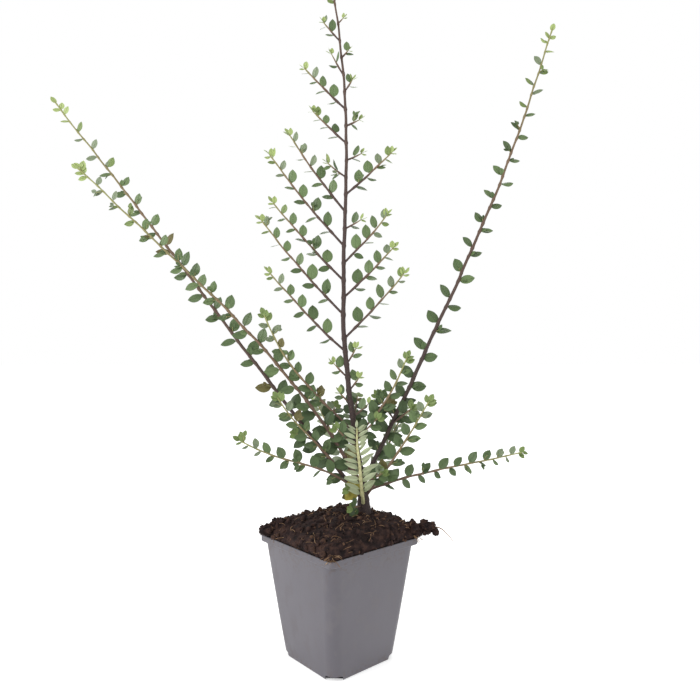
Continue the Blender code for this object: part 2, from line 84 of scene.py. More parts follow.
# Peat: fills the pot and is heaped over the rim
PEAT_TOP = 0.1117
PEAT_EDGE_HALF = 0.0440
PEAT_FLAT_HALF = 0.0068
PEAT_LUMP = 0.0014
PEAT_LUMPS_COARSE = 55.0
PEAT_LUMPS_FINE = 130.0
PEAT_GRIT = 0.0007
PEAT_GRITS = 420.0
PEAT_DEPTH = 0.080
PEAT_LONGEST_EDGE = 0.0020
PEAT_SPLITS = 4
PEAT_HEART = Vector((0, 0, 0.06))
PEAT_CORNER_SHARE = 0.96
# How far in from the rim to the stump, and how much of the rise is reached there
PEAT_HEAP = (
    (0.0, 0.0), (0.02, 0.30), (0.10, 0.55), (0.24, 0.74),
    (0.45, 0.88), (0.72, 0.96), (0.94, 1.0),
)
CRUMBS = 1500
CRUMB_SIZES = (0.00035, 0.0013)
CLODS = 90
CLOD_SIZES = (0.0015, 0.0030)
CLOD_LUMPS = 190.0
CLOD_LUMP_SHARE = 0.80
CRUMB_LUMPS = 1.4
CRUMB_ROUGHNESS = 0.55
CRUMB_STRETCH = (0.7, 1.3)
CRUMB_FLATNESS = 0.8
CRUMB_OUT = 0.2
# Which of the two peat surfaces a crumb draws: mostly the dark one
CRUMB_TONES = (0, 0, 0, 1)
FIBRES = 110
FIBRE_RADIUS = 0.00018
FIBRE_LENGTHS = (0.003, 0.010)
FIBRE_STEPS = 5
FIBRE_LIFT = 0.0007
FIBRE_ARCH = 0.0012
FIBRE_BENDS = 260.0
FIBRE_BEND = 0.0012
FIBRE_AGE = 0.5
FIBRE_END_SHARE = 0.4
# Clods at the rim: middle, and half sizes
RIM_CLODS = (
    ((0.0600, -0.0050, 0.1020), (0.0060, 0.0065, 0.0048)),
    ((0.0672, -0.0060, 0.1060), (0.0042, 0.0040, 0.0034)),
    ((0.0725, -0.0060, 0.1035), (0.0034, 0.0034, 0.0030)),
    ((0.0752, -0.0065, 0.0995), (0.0024, 0.0026, 0.0022)),
    ((0.0690, -0.0070, 0.1005), (0.0026, 0.0028, 0.0024)),
    ((-0.0600, 0.0040, 0.0985), (0.0034, 0.0050, 0.0026)),
    ((-0.0560, -0.0010, 0.1000), (0.0050, 0.0060, 0.0036)),
    ((-0.0480, 0.0020, 0.1030), (0.0055, 0.0060, 0.0040)),
)
RIM_CRUMBS = 70
RIM_CRUMB_SIZES = (0.0003, 0.0010)
RIM_CRUMB_FLATNESS = 0.9
RIM_CRUMB_TONES = (0, 0, 1)
# Fibres that stick out over the rim
RIM_FRINGE = 90
FRINGE_INWARD = 0.985
FRINGE_RISE = (0.002, 0.006)
FRINGE_LENGTHS = (0.003, 0.008)
FRINGE_SAG = 0.003
FRINGE_BENDS = 240.0
FRINGE_BEND = 0.0010
# Clods along the rim: half sizes, height over the pot's edge and reach from its middle
EDGE_CLODS = 170
EDGE_CLOD_SIZES = (0.0009, 0.0030)
EDGE_CLOD_RISE = (0.0002, 0.0048)
EDGE_CLOD_REACH = (0.0405, 0.0452)
# A loose root at the right of the rim, from clod to tip
RIM_ROOT = (
    (0.0735, -0.0060, 0.1030), (0.0800, -0.0070, 0.1045),
    (0.0860, -0.0075, 0.0990), (0.0895, -0.0080, 0.0915),
)
RIM_ROOT_STEPS = 12
RIM_ROOT_RADIUS = 0.00055
RIM_ROOT_THINNING = 0.00003
RIM_ROOT_BENDS = 180.0
RIM_ROOT_BEND = 0.0008
# A little less than a full turn, in radians
FULL_TURN = 6.28

# Stump: the short foot of all the stems
STUMP_FOOT = Vector((0.0200, 0.0055, 0.1120))
STUMP_TOP = Vector((0.0195, 0.0060, 0.1386))
STUMP_FOOT_RADIUS = 0.0044
STUMP_TOP_RADIUS = 0.0031
STUMP_FLARE = 0.35
STUMP_RINGS = 26
STUMP_BURIED = 0.12
STUMP_AGE = 0.06
STUMP_RELIEF = 1.6

# Limbs: each runs from foot to tip with one bow and one S-shaped sway, and tapers
Limb = namedtuple("Limb", "foot tip bow sway foot_radius tip_radius")
CENTRAL = Limb((0.0190, 0.006, 0.1390), (-0.0070, 0.016, 0.5480), 0.0011, 0.0063, 0.0025, 0.0006)
RIGHT = Limb((0.0195, 0.007, 0.1340), (0.1800, 0.032, 0.5130), -0.0085, 0.0016, 0.0021, 0.0006)
LEFT_OUTER = Limb((0.0200, 0.006, 0.1210), (-0.2370, 0.035, 0.4490), 0.0003, 0.0012, 0.0020, 0.0006)
LEFT_INNER = Limb((0.0195, 0.004, 0.1330), (-0.1930, -0.030, 0.3770), -0.0133, -0.0021, 0.0018, 0.0006)
RIGHT_LEAFY_FROM = 0.20
LEFT_OUTER_LEAFY_FROM = 0.27
LEFT_INNER_LEAFY_FROM = 0.22
CENTRAL_LEAFY_FROM = 0.925
# Leaves that the boughs carry below their leafy ends
FOOT_LEAVES_FROM = 0.05
FOOT_PITCH = 0.0165
FOOT_YOUTH = 0.16

# Leafy shoots: leaves stand in two rows, in near pairs
Shoot = namedtuple("Shoot", "name limb start pitch leaf spread companions bare forward")
PAIR_LAG = 0.28
LEAF_SLIMNESS = 0.67
SILVER_SLIMNESS = 0.30
LEAF_THICKNESS = 0.030
LEAF_ROWS = 7
# Fold along the midrib, droop, cup and twist of each shape of leaf
LEAF_SHAPES = (
    (0.22, 0.05, 0.5, 0.10),
    (0.12, 0.10, 0.8, -0.16),
    (0.32, -0.02, 0.3, 0.0),
    (0.18, 0.16, 0.2, 0.20),
)
LEAF_WIDEST = 0.88
LEAF_FULLNESS = 0.62
LEAF_POINT_FROM = 0.72
LEAF_POINT_SHARE = 0.25
LEAF_WIDTHS = (0.92, 1.08)
LEAF_SHARP_ANGLE = 70
LEAF_FORWARD = 0.35
LEAF_FORWARD_LOW = 1.3
LEAF_TILT = math.radians(7)
LEAF_ROLL = math.radians(16)
LEAF_NOD = math.radians(9)
BACKWARD_REACH = 0.04
LEAF_SIZES = (0.88, 1.08)
TIPWARD_SHRINK = 0.45
TIPWARD_SHRINK_POWER = 2.2
TIPWARD_CLOSING = 0.32
LAST_PAIR_GAP = 0.0030
LAST_LEAF_ALONG = 0.985
TIP_LEAF_ALONG = 0.992
TIP_PAIR_ALONG = 0.975
TIP_PAIR_SPREAD = 0.8
TIP_LEAF_SHARE = 0.52
COMPANION_SHARE = 0.58
COMPANION_SPREAD = math.radians(22)
ROW_SPREAD = math.radians(46)
STEM_SPREAD = math.radians(57)
LEAF_SCALE = 1.0
PETIOLE_SHARE = 0.11
PETIOLE_RADIUS = 0.00028
PETIOLE_AGE = 0.86
TWIGLET_LENGTHS = (0.0025, 0.0060)
LOWER_ROW_LIMIT = 0.35
LOWER_ROW_SHARE = 0.80
LOWER_ROW_SAG = (-0.30, 0.12)
LOWER_ROW_FORWARD = (0.35, 1.10)
SILVER_PITCH = 0.0078
SILVER_LEAF = 0.0150
TWIGLET_RADIUS = 0.00034
TWIGLET_AGES = (0.75, 0.82, 0.9)
TWIGLET_LEAF_LEAST = 0.6
LEAFLET_SIZES = (0.0032, 0.0056)

# Side shoots of the central stem: they leave it to the left and right by turns
NODE_FIRST = 0.1886
LOW_NODES = 7
LOW_NODE_STEP = 0.0106
NODE_GAP = 0.0188
HIGH_NODE_STEP = 0.0138
# Length, and lean from upright in degrees, from the lowest up
LEFT_SIDE_SHOOTS = (
    (0.012, 45), (0.016, 45), (0.088, 44), (0.101, 41), (0.086, 42), (0.093, 40),
    (0.079, 36), (0.018, 56), (0.039, 46), (0.047, 45), (0.018, 32), (0.019, 45),
)
RIGHT_SIDE_SHOOTS = (
    (0.017, 50), (0.013, 38), (0.015, 30), (0.070, 43), (0.057, 45), (0.051, 43), (0.015, 62),
    (0.051, 47), (0.014, 64), (0.012, 64), (0.011, 34), (0.008, 42), (0.006, 46),
)
SIDE_DEPTH_TURN = math.radians(14)
SIDE_BOW_SHARE = 0.015
SIDE_FOOT_RADIUS = 0.0010
SIDE_TIP_RADIUS = 0.00045
SIDE_PITCH_LEAST = 0.0085
SIDE_PITCH_SHARE = 0.085
SIDE_BARE_SHARE = 0.11
SIDE_LEAF = 0.0128
SIDE_STOUT_LEAST = 0.4
SIDE_STOUT_LENGTH = 0.10
SIDE_LEAF_LEAST = 0.82
SIDE_LEAF_LENGTH = 0.06
SIDE_LEAF_UPWARD_SHRINK = 0.30

# Short leafy twigs near the foot: parent (None is the stump), place along it, turn
# about the upright from +X and lean from upright in degrees, and length
SPURS = (
    (None, 0.60, 238, 74, 0.024),
    (None, 0.42, 225, 55, 0.020),
    (None, 0.20, 235, 82, 0.016),
    (None, 0.82, 318, 58, 0.022),
    (LEFT_OUTER, 0.15, 215, 70, 0.018),
    (CENTRAL, 0.060, 215, 50, 0.026),
    (CENTRAL, 0.075, 330, 45, 0.026),
    (LEFT_INNER, 0.17, 60, 40, 0.020),
    (RIGHT, 0.14, 160, 35, 0.022),
    (RIGHT, 0.13, 335, 52, 0.021),
    (CENTRAL, 0.055, 100, 45, 0.040),
    (CENTRAL, 0.110, 80, 50, 0.030),
)

# Bark
BARK_SIDES = 14
BARK_STEP = 0.0013
TWIG_SIDES = 6
TWIG_STEP = 0.0030
WOBBLE = 0.0007
WOBBLES = 45.0
NODE_SWELL = 0.45
NODE_SWELL_LENGTH = 0.0013
RELIEF_SHARE = 0.07
RELIEF_GRAIN = 520.0
RELIEF_STRETCH = 0.4
# A limb stouter than this swells half as much at its nodes
STOUT_RADIUS = 0.0012
LIMB_END_SHARE = 0.55

# Tints of the upper and lower leaf sides, as red, green and blue of a screen
TINTS = {
    "leaf_deep": (70, 88, 56),
    "leaf_dark": (86, 106, 68),
    "leaf_mid": (104, 125, 82),
    "leaf_grey": (126, 140, 110),
    "leaf_fresh": (122, 142, 84),
    "leaf_lime": (166, 184, 116),
    "leaf_yellow": (156, 146, 66),
    "leaf_olive": (104, 98, 58),
    "leaf_silver": (178, 188, 152),
    "under_dull": (134, 146, 114),
    "under_fresh": (158, 176, 118),
    "under_silver": (198, 204, 178),
}
PEAT_DARK_TONES = ((25, 17, 17), (46, 32, 30), (70, 50, 42))
PEAT_LIGHT_TONES = ((46, 32, 29), (70, 50, 41), (104, 78, 60))
STRAW_TONES = ((96, 72, 54), (134, 104, 78), (168, 140, 108))
PALE_BARK_TONES = ((160, 156, 112), (186, 184, 138), (206, 204, 160))
UNDERSIDE = {
    "leaf_deep": "under_dull",
    "leaf_dark": "under_dull",
    "leaf_mid": "under_dull",
    "leaf_grey": "under_dull",
    "leaf_fresh": "under_fresh",
    "leaf_lime": "under_fresh",
    "leaf_yellow": "under_fresh",
    "leaf_olive": "under_dull",
    "leaf_silver": "under_silver",
}


# Camera, floor and light

def linear(value):
    share = value / 255
    return share / 12.92 if share <= 0.04045 else ((share + 0.055) / 1.055) ** 2.4


def shade(red, green, blue):
    return (linear(red), linear(green), linear(blue), 1.0)


def place_camera():
    data = bpy.data.cameras.new("camera")
    data.sensor_width = 36.0
    data.lens = 32.99
    camera = bpy.data.objects.new("camera", data)
    camera.location = (-0.0034, -0.5074, 0.250)
    camera.rotation_euler = (math.radians(90 - 0.85), 0.0, math.radians(-1.38))
    bpy.context.scene.collection.objects.link(camera)
    bpy.context.scene.camera = camera


def area_light(name, place, aim, size, power):
    data = bpy.data.lights.new(name, "AREA")
    data.shape = "DISK"
    data.size = size
    data.energy = power
    light = bpy.data.objects.new(name, data)
    light.location = place
    light.rotation_euler = (Vector(aim) - Vector(place)).to_track_quat("-Z", "Y").to_euler()
    bpy.context.scene.collection.objects.link(light)


def node(tree, kind, inputs=(), **settings):
    """A new node with its settings and with each named input set or linked."""
    made = tree.nodes.new(kind)
    for key, value in settings.items():
        setattr(made, key, value)
    for key, value in dict(inputs).items():
        socket = made.inputs[key]
        if isinstance(value, bpy.types.NodeSocket):
            tree.links.new(value, socket)
        else:
            socket.default_value = value
    return made


def light_studio():
    world = bpy.data.worlds.new("studio")
    world.use_nodes = True
    tree = world.node_tree
    tree.nodes.clear()
    seen = node(tree, "ShaderNodeLightPath").outputs["Is Camera Ray"]
    soft = node(tree, "ShaderNodeBackground", {"Color": (1.0, 1.0, 1.0, 1.0), "Strength": 0.58})
    plain = node(tree, "ShaderNodeBackground", {"Color": (1.0, 1.0, 1.0, 1.0), "Strength": 1.0})
    mixed = node(tree, "ShaderNodeMixShader", {0: seen, 1: soft.outputs[0], 2: plain.outputs[0]})
    node(tree, "ShaderNodeOutputWorld", {"Surface": mixed.outputs[0]})
    bpy.context.scene.world = world
    bpy.context.scene.view_settings.view_transform = "Standard"
    area_light("light_left", (-1.3, -0.9, 1.1), (0.0, 0.0, 0.25), 1.1, 19.0)
    area_light("light_right", (1.5, -0.5, 1.0), (0.0, 0.0, 0.25), 1.1, 6.0)
    area_light("light_back", (0.2, 1.4, 1.5), (0.0, 0.0, 0.25), 1.2, 8.0)


def lay_floor():
    bm = bmesh.new()
    bmesh.ops.create_grid(bm, x_segments=1, y_segments=1, size=6.0)
    mesh = bpy.data.meshes.new("floor")
    bm.to_mesh(mesh)
    bm.free()
    surface = bpy.data.materials.new("floor")
    surface.use_nodes = True
    shader = surface.node_tree.nodes["Principled BSDF"]
    shader.inputs["Base Color"].default_value = (0.92, 0.92, 0.92, 1.0)
    shader.inputs["Roughness"].default_value = 0.9
    shader.inputs["Emission Color"].default_value = (1.0, 1.0, 1.0, 1.0)
    shader.inputs["Emission Strength"].default_value = 0.50
    mesh.materials.append(surface)
    floor = bpy.data.objects.new("floor", mesh)
    bpy.context.scene.collection.objects.link(floor)


# Shader groups

def new_group(name, inputs, outputs):
    """A shader group with its sockets. Inputs are (name, default); outputs are (name, type)."""
    group = bpy.data.node_groups.new(name, "ShaderNodeTree")
    for socket_name, default in inputs:
        socket = group.interface.new_socket(
            name=socket_name, in_out="INPUT", socket_type="NodeSocketFloat")
        socket.default_value = default
    for socket_name, kind in outputs:
        group.interface.new_socket(name=socket_name, in_out="OUTPUT", socket_type=kind)
    return group


def grain_group():
    """Coarse and fine noise on object coordinates, both from 0 to 1."""
    group = new_group("grain", (("Scale", 100.0), ("Stretch", 1.0)),
                      (("Coarse", "NodeSocketFloat"), ("Fine", "NodeSocketFloat")))
    enter = node(group, "NodeGroupInput")
    place = node(group, "ShaderNodeTexCoord").outputs["Object"]
    stretch = node(group, "ShaderNodeCombineXYZ", {0: 1.0, 1: 1.0, 2: enter.outputs["Stretch"]})
    place = node(group, "ShaderNodeVectorMath", {0: place, 1: stretch.outputs[0]}, operation="MULTIPLY")
    coarse = node(group, "ShaderNodeTexNoise",
                  {"Vector": place.outputs[0], "Scale": enter.outputs["Scale"], "Detail": 3.0})
    finer = node(group, "ShaderNodeMath", {0: enter.outputs["Scale"], 1: 5.0}, operation="MULTIPLY")
    fine = node(group, "ShaderNodeTexNoise",
                {"Vector": place.outputs[0], "Scale": finer.outputs[0], "Detail": 2.0})
    node(group, "NodeGroupOutput", {"Coarse": coarse.outputs[0], "Fine": fine.outputs[0]})
    return group


def ramp(tree, value, stops, interpolation="LINEAR"):
    """A colour ramp. Stops are (position, colour)."""
    made = node(tree, "ShaderNodeValToRGB", {"Fac": value})
    made.color_ramp.interpolation = interpolation
    elements = made.color_ramp.elements
    while len(elements) < len(stops):
        elements.new(0.5)
    for element, (position, colour) in zip(elements, stops):
        element.position = position
        element.color = colour
    return made.outputs["Color"]


def blend(tree, share, first, second):
    mixed = node(tree, "ShaderNodeMix", {0: share, 6: first, 7: second}, data_type="RGBA")
    return mixed.outputs[2]


def times(tree, value, factor):
    return node(tree, "ShaderNodeMath", {0: value, 1: factor}, operation="MULTIPLY").outputs[0]


def band(tree, value, low, high):
    """0 below low, 1 above high, and smooth between."""
    made = node(tree, "ShaderNodeMapRange", {0: value, 1: low, 2: high, 3: 0.0, 4: 1.0},
                interpolation_type="SMOOTHSTEP")
    return made.outputs[0]


def bark_group(grain):
    """Bark from old purple-brown to young green by the age attribute, with pale lenticels."""
    group = new_group("aged_bark", (("Mottle", 0.5), ("Lenticels", 1.0)),
                      (("Color", "NodeSocketColor"), ("Roughness", "NodeSocketFloat"),
                       ("Height", "NodeSocketFloat")))
    enter = node(group, "NodeGroupInput")
    age = node(group, "ShaderNodeAttribute", attribute_name="age").outputs["Fac"]
    noisy = node(group, "ShaderNodeGroup", {"Scale": 260.0, "Stretch": 0.35}, node_tree=grain)
    colour = ramp(group, age, (
        (0.00, shade(60, 48, 47)),
        (0.30, shade(76, 61, 58)),
        (0.50, shade(98, 78, 68)),
        (0.68, shade(128, 106, 84)),
        (0.84, shade(150, 146, 98)),
        (1.00, shade(174, 186, 118)),
    ))
    dark = node(group, "ShaderNodeHueSaturation", {"Value": 0.55, "Color": colour})
    mottled = times(group, noisy.outputs["Coarse"], enter.outputs["Mottle"])
    colour = blend(group, mottled, colour, dark.outputs[0])
    cells = node(group, "ShaderNodeTexVoronoi",
                 {"Vector": node(group, "ShaderNodeTexCoord").outputs["Object"], "Scale": 620.0})
    spots = band(group, cells.outputs["Distance"], 0.24, 0.14)
    spots = times(group, spots, enter.outputs["Lenticels"])
    colour = blend(group, times(group, spots, 0.45), colour, shade(142, 120, 102))
    height = node(group, "ShaderNodeMath", {0: noisy.outputs["Fine"], 1: spots}, operation="ADD")
    rough = node(group, "ShaderNodeMapRange", {0: noisy.outputs["Coarse"], 3: 0.55, 4: 0.85})
    node(group, "NodeGroupOutput",
         {"Color": colour, "Roughness": rough.outputs[0], "Height": height.outputs[0]})
    return group


def leaf_group():
    """Midrib, side veins and a faint waxy unevenness from the leaf's own map."""
    group = new_group("leaf_relief", (("Vein", 1.0),),
                      (("Height", "NodeSocketFloat"), ("Roughness", "NodeSocketFloat")))
    enter = node(group, "NodeGroupInput")
    mapped = node(group, "ShaderNodeUVMap", uv_map="LeafMap").outputs[0]
    split = node(group, "ShaderNodeSeparateXYZ", {0: mapped})
    centred = node(group, "ShaderNodeMath", {0: split.outputs[0], 1: 0.5}, operation="SUBTRACT")
    aside = node(group, "ShaderNodeMath", {0: centred.outputs[0]}, operation="ABSOLUTE").outputs[0]
    rib = band(group, aside, 0.06, 0.0)
    slanted = node(group, "ShaderNodeMath", {0: aside, 1: -0.75, 2: split.outputs[1]},
                   operation="MULTIPLY_ADD")
    wave = node(group, "ShaderNodeMath", {0: times(group, slanted.outputs[0], 38.0)}, operation="SINE")
    veins = band(group, wave.outputs[0], 0.72, 1.0)
    both = node(group, "ShaderNodeMath", {0: rib, 1: times(group, veins, 0.4)}, operation="ADD")
    height = times(group, both.outputs[0], enter.outputs["Vein"])
    rough = node(group, "ShaderNodeMapRange", {0: veins, 3: 0.40, 4: 0.54})
    node(group, "NodeGroupOutput", {"Height": height, "Roughness": rough.outputs[0]})
    return group


# Materials

def new_material(name):
    made = bpy.data.materials.new(name)
    made.use_nodes = True
    return made, made.node_tree, made.node_tree.nodes["Principled BSDF"]


def bump(tree, shader, height, depth, strength=1.0):
    made = node(tree, "ShaderNodeBump", {"Strength": strength, "Distance": depth, "Height": height})
    tree.links.new(made.outputs[0], shader.inputs["Normal"])


def leaf_material(name, colour, relief, vein):
    made, tree, shader = new_material(name)
    shader.inputs["Base Color"].default_value = shade(*colour)
    shader.inputs["Specular IOR Level"].default_value = 0.35
    veins = node(tree, "ShaderNodeGroup", {"Vein": vein}, node_tree=relief)
    tree.links.new(veins.outputs["Roughness"], shader.inputs["Roughness"])
    bump(tree, shader, veins.outputs["Height"], 0.00025)
    return made


def bark_material(name, aged, mottle, lenticels, depth):
    made, tree, shader = new_material(name)
    aged_node = node(tree, "ShaderNodeGroup", {"Mottle": mottle, "Lenticels": lenticels},
                     node_tree=aged)
    tree.links.new(aged_node.outputs["Color"], shader.inputs["Base Color"])
    tree.links.new(aged_node.outputs["Roughness"], shader.inputs["Roughness"])
    shader.inputs["Specular IOR Level"].default_value = 0.35
    bump(tree, shader, aged_node.outputs["Height"], depth)
    return made


def mottled_material(name, grain, scale, colours, roughness, depth, stretch=1.0):
    """Three tones by coarse noise, with fine noise in the bump: for peat, crumbs and fibres."""
    made, tree, shader = new_material(name)
    noisy = node(tree, "ShaderNodeGroup", {"Scale": scale, "Stretch": stretch}, node_tree=grain)
    colour = ramp(tree, noisy.outputs["Coarse"], (
        (0.34, shade(*colours[0])),
        (0.52, shade(*colours[1])),
        (0.72, shade(*colours[2])),
    ))
    tree.links.new(colour, shader.inputs["Base Color"])
    shader.inputs["Roughness"].default_value = roughness
    shader.inputs["Specular IOR Level"].default_value = 0.25
    bump(tree, shader, noisy.outputs["Fine"], depth)
    return made


def pot_material(grain):
    """Grey plastic with patches of dust, smears of peat near lip and foot, and a fine grain."""
    made, tree, shader = new_material("pot_plastic")
    cloudy = node(tree, "ShaderNodeGroup", {"Scale": 26.0, "Stretch": 0.6}, node_tree=grain)
    fine = node(tree, "ShaderNodeGroup", {"Scale": 340.0, "Stretch": 1.0}, node_tree=grain)
    place = node(tree, "ShaderNodeTexCoord").outputs["Object"]
    height = node(tree, "ShaderNodeSeparateXYZ", {0: place}).outputs[2]
    colour = blend(tree, cloudy.outputs["Coarse"], shade(82, 79, 86), shade(96, 93, 100))
    dusty = band(tree, cloudy.outputs["Fine"], 0.50, 0.72)
    colour = blend(tree, times(tree, dusty, 0.30), colour, shade(116, 112, 113))
    near_lip = band(tree, height, 0.070, 0.0945)
    near_foot = band(tree, height, 0.012, 0.0)
    soiled = node(tree, "ShaderNodeMath", {0: near_lip, 1: near_foot}, operation="MAXIMUM").outputs[0]
    smear = band(tree, fine.outputs["Coarse"], 0.52, 0.64)
    smear = times(tree, smear, soiled)
    colour = blend(tree, times(tree, smear, 0.45), colour, shade(84, 70, 62))
    specks = band(tree, fine.outputs["Fine"], 0.68, 0.76)
    colour = blend(tree, times(tree, specks, 0.35), colour, shade(92, 84, 84))
    tree.links.new(colour, shader.inputs["Base Color"])
    rough = node(tree, "ShaderNodeMapRange", {0: dusty, 3: 0.42, 4: 0.66})
    tree.links.new(rough.outputs[0], shader.inputs["Roughness"])
    bump(tree, shader, fine.outputs["Fine"], 0.00012, 0.6)
    return made


# Objects and joined small shapes

def add_piece(name, mesh, materials, nodes, sharp=None):
    """A piece that rides on the root body and stands for those nodes."""
    for surface in materials:
        mesh.materials.append(surface)
    mesh.shade_smooth()
    if sharp:
        mesh.set_sharp_from_angle(angle=math.radians(sharp))
    made = bpy.data.objects.new(name, mesh)
    bpy.context.scene.collection.objects.link(made)
    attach(made, "root")
    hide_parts(*nodes)
    return made


def mesh_of(name, bm):
    mesh = bpy.data.meshes.new(name)
    bm.to_mesh(mesh)
    bm.free()
    return mesh


Master = namedtuple("Master", "points faces slots map")


def master_of(bm, slot_of=None):
    """A small shape as arrays, for joining many of it into one mesh."""
    bmesh.ops.triangulate(bm, faces=bm.faces[:])
    bm.verts.index_update()
    mapped = bm.verts.layers.float_vector.get("map")
    points = np.array([vert.co[:] for vert in bm.verts])
    faces = np.array([[vert.index for vert in face.verts] for face in bm.faces])
    slots = np.array([face.material_index for face in bm.faces])
    places = np.array([vert[mapped][:2] if mapped else (0.0, 0.0) for vert in bm.verts])
    bm.free()
    return Master(points, faces, slots, places)


class Bunch:
    """Many small shapes joined into one mesh, each with its own place, tint and age."""

    def __init__(self):
        self.points = []
        self.faces = []
        self.slots = []
        self.ages = []
        self.maps = []
        self.count = 0

    def add(self, master, points, slots, ages):
        self.points.append(points)
        self.faces.append(master.faces + self.count)
        self.slots.append(slots)
        self.ages.append(np.broadcast_to(ages, (len(points),)))
        self.maps.append(master.map)
        self.count += len(points)

    def piece(self, name, materials, slot, nodes, sharp=None):
        points = np.concatenate(self.points)
        faces = np.concatenate(self.faces)
        mesh = bpy.data.meshes.new(name)
        mesh.from_pydata(points.tolist(), [], faces.tolist())
        mesh.polygons.foreach_set("material_index", np.concatenate(self.slots).astype(np.int32))
        age = mesh.attributes.new("age", "FLOAT", "POINT")
        age.data.foreach_set("value", np.concatenate(self.ages).astype(np.float32))
        layer = mesh.uv_layers.new(name="LeafMap")
        corners = np.concatenate(self.maps)[faces.ravel()]
        layer.data.foreach_set("uv", corners.astype(np.float32).ravel())
        mesh.update()
        return add_piece(name, mesh, materials, nodes, sharp)


def placed(points, matrix):
    spread = np.array(matrix)
    return points @ spread[:3, :3].T + spread[:3, 3]


# Curves of the limbs

def across(limb):
    """The direction in the plant's broad plane that a bow moves a limb to."""
    chord = Vector(limb.tip) - Vector(limb.foot)
    return chord.cross(Vector((0, 1, 0))).normalized()


def point_at(limb, along):
    foot = Vector(limb.foot)
    chord = Vector(limb.tip) - foot
    offset = limb.bow * 4 * along * (1 - along) + limb.sway * math.sin(2 * math.pi * along)
    return foot + chord * along + across(limb) * offset


def direction_at(limb, along):
    step = 0.01
    return (point_at(limb, along + step) - point_at(limb, along - step)).normalized()


def radius_at(limb, along):
    return limb.foot_radius + (limb.tip_radius - limb.foot_radius) * along


def length_of(limb):
    return (Vector(limb.tip) - Vector(limb.foot)).length


def axis_at(limb, along):
    """The limb's middle line with the slight unevenness of a grown shoot."""
    spot = point_at(limb, along)
    fade = min(1.0, along * length_of(limb) / 0.02)
    return spot + noise.noise_vector(spot * WOBBLES) * (WOBBLE * fade)


def stump_radius(along):
    flare = 1 + STUMP_FLARE * (1 - along) ** 2
    return (STUMP_FOOT_RADIUS * (1 - along) + STUMP_TOP_RADIUS * along) * flare


# Pot

def square_spots(half, corner, height, middle=(0.0, 0.0)):
    """The points of a level square with rounded corners, turned with the pot."""
    spots = []
    turned = Matrix.Rotation(POT_TURN, 3, "Z")
    for quarter in range(4):
        facing = Matrix.Rotation(quarter * math.pi / 2, 3, "Z")
        for i in range(CORNER_STEPS + 1):
            angle = math.pi / 2 * i / CORNER_STEPS
            spot = Vector((half - corner, half - corner, 0))
            spot += Vector((math.cos(angle), math.sin(angle), 0)) * corner
            spots.append(turned @ (facing @ spot) + Vector((*middle, height)))
    return spots


def stack_squares(bm, squares):
    """One rounded square extruded through the rest, closed at both ends."""
    last = square_spots(*squares[0])
    top = bm.faces.new([bm.verts.new(spot) for spot in last])
    for square in squares[1:]:
        grown = bmesh.ops.extrude_face_region(bm, geom=[top])["geom"]
        top = next(part for part in grown if isinstance(part, bmesh.types.BMFace))
        spots = square_spots(*square)
        for vert in top.verts:
            vert.co = spots[min(range(len(last)), key=lambda i: (last[i] - vert.co).length_squared)]
        last = spots
    bmesh.ops.holes_fill(bm, edges=[edge for edge in bm.edges if edge.is_boundary], sides=0)
    bmesh.ops.recalc_face_normals(bm, faces=bm.faces)
    if bm.calc_volume(signed=True) < 0:
        bmesh.ops.reverse_faces(bm, faces=bm.faces[:])


def wall_half(height):
    share = height / (POT_HEIGHT - LIP_HEIGHT)
    return POT_BASE_HALF + (POT_WALL_TOP_HALF - POT_BASE_HALF) * share


def make_pot(surface):
    under_lip = POT_HEIGHT - LIP_HEIGHT
    inner_corner = POT_CORNER - POT_WALL
    inner_top = wall_half(POT_HEIGHT) - POT_WALL
    foot_middle = POT_FOOT_EDGE * FOOT_EDGE_MIDDLE
    squares = [
        (POT_BASE_HALF - POT_FOOT_EDGE, POT_CORNER - POT_FOOT_EDGE, 0.0),
        (POT_BASE_HALF - foot_middle, POT_CORNER - foot_middle, foot_middle),
        (wall_half(POT_FOOT_EDGE), POT_CORNER, POT_FOOT_EDGE),
        *((wall_half(height) + WALL_SWELL, POT_CORNER, height) for height in WALL_SWELL_HEIGHTS),
        (POT_WALL_TOP_HALF, POT_CORNER, under_lip - POT_EDGE),
        (POT_WALL_TOP_HALF + POT_EDGE * UNDER_LIP_MIDDLE, POT_CORNER - POT_EDGE, under_lip),
        (LIP_HALF - POT_EDGE * LIP_EDGE_MIDDLE, LIP_CORNER, under_lip),
        (LIP_HALF, LIP_CORNER, under_lip + POT_EDGE),
        (LIP_HALF, LIP_CORNER, POT_HEIGHT - POT_EDGE),
        (LIP_HALF - POT_EDGE * LIP_EDGE_MIDDLE, LIP_CORNER, POT_HEIGHT),
        (inner_top + POT_EDGE, inner_corner, POT_HEIGHT),
        (inner_top, inner_corner, POT_HEIGHT - POT_EDGE),
        (wall_half(POT_FLOOR) - POT_WALL, inner_corner, POT_FLOOR),
    ]
    bm = bmesh.new()
    stack_squares(bm, squares)
    shell = bpy.data.objects.new("shell", mesh_of("shell", bm))
    bpy.context.scene.collection.objects.link(shell)
    cutter = make_drain_cutter()
    cut = shell.modifiers.new("Drains", "BOOLEAN")
    cut.object = cutter
    graph = bpy.context.evaluated_depsgraph_get()
    mesh = bpy.data.meshes.new_from_object(shell.evaluated_get(graph))
    bpy.data.objects.remove(shell, do_unlink=True)
    bpy.data.objects.remove(cutter, do_unlink=True)
    add_piece("pot_shell", mesh, [surface], ["pot"], sharp=POT_SHARP_ANGLE)


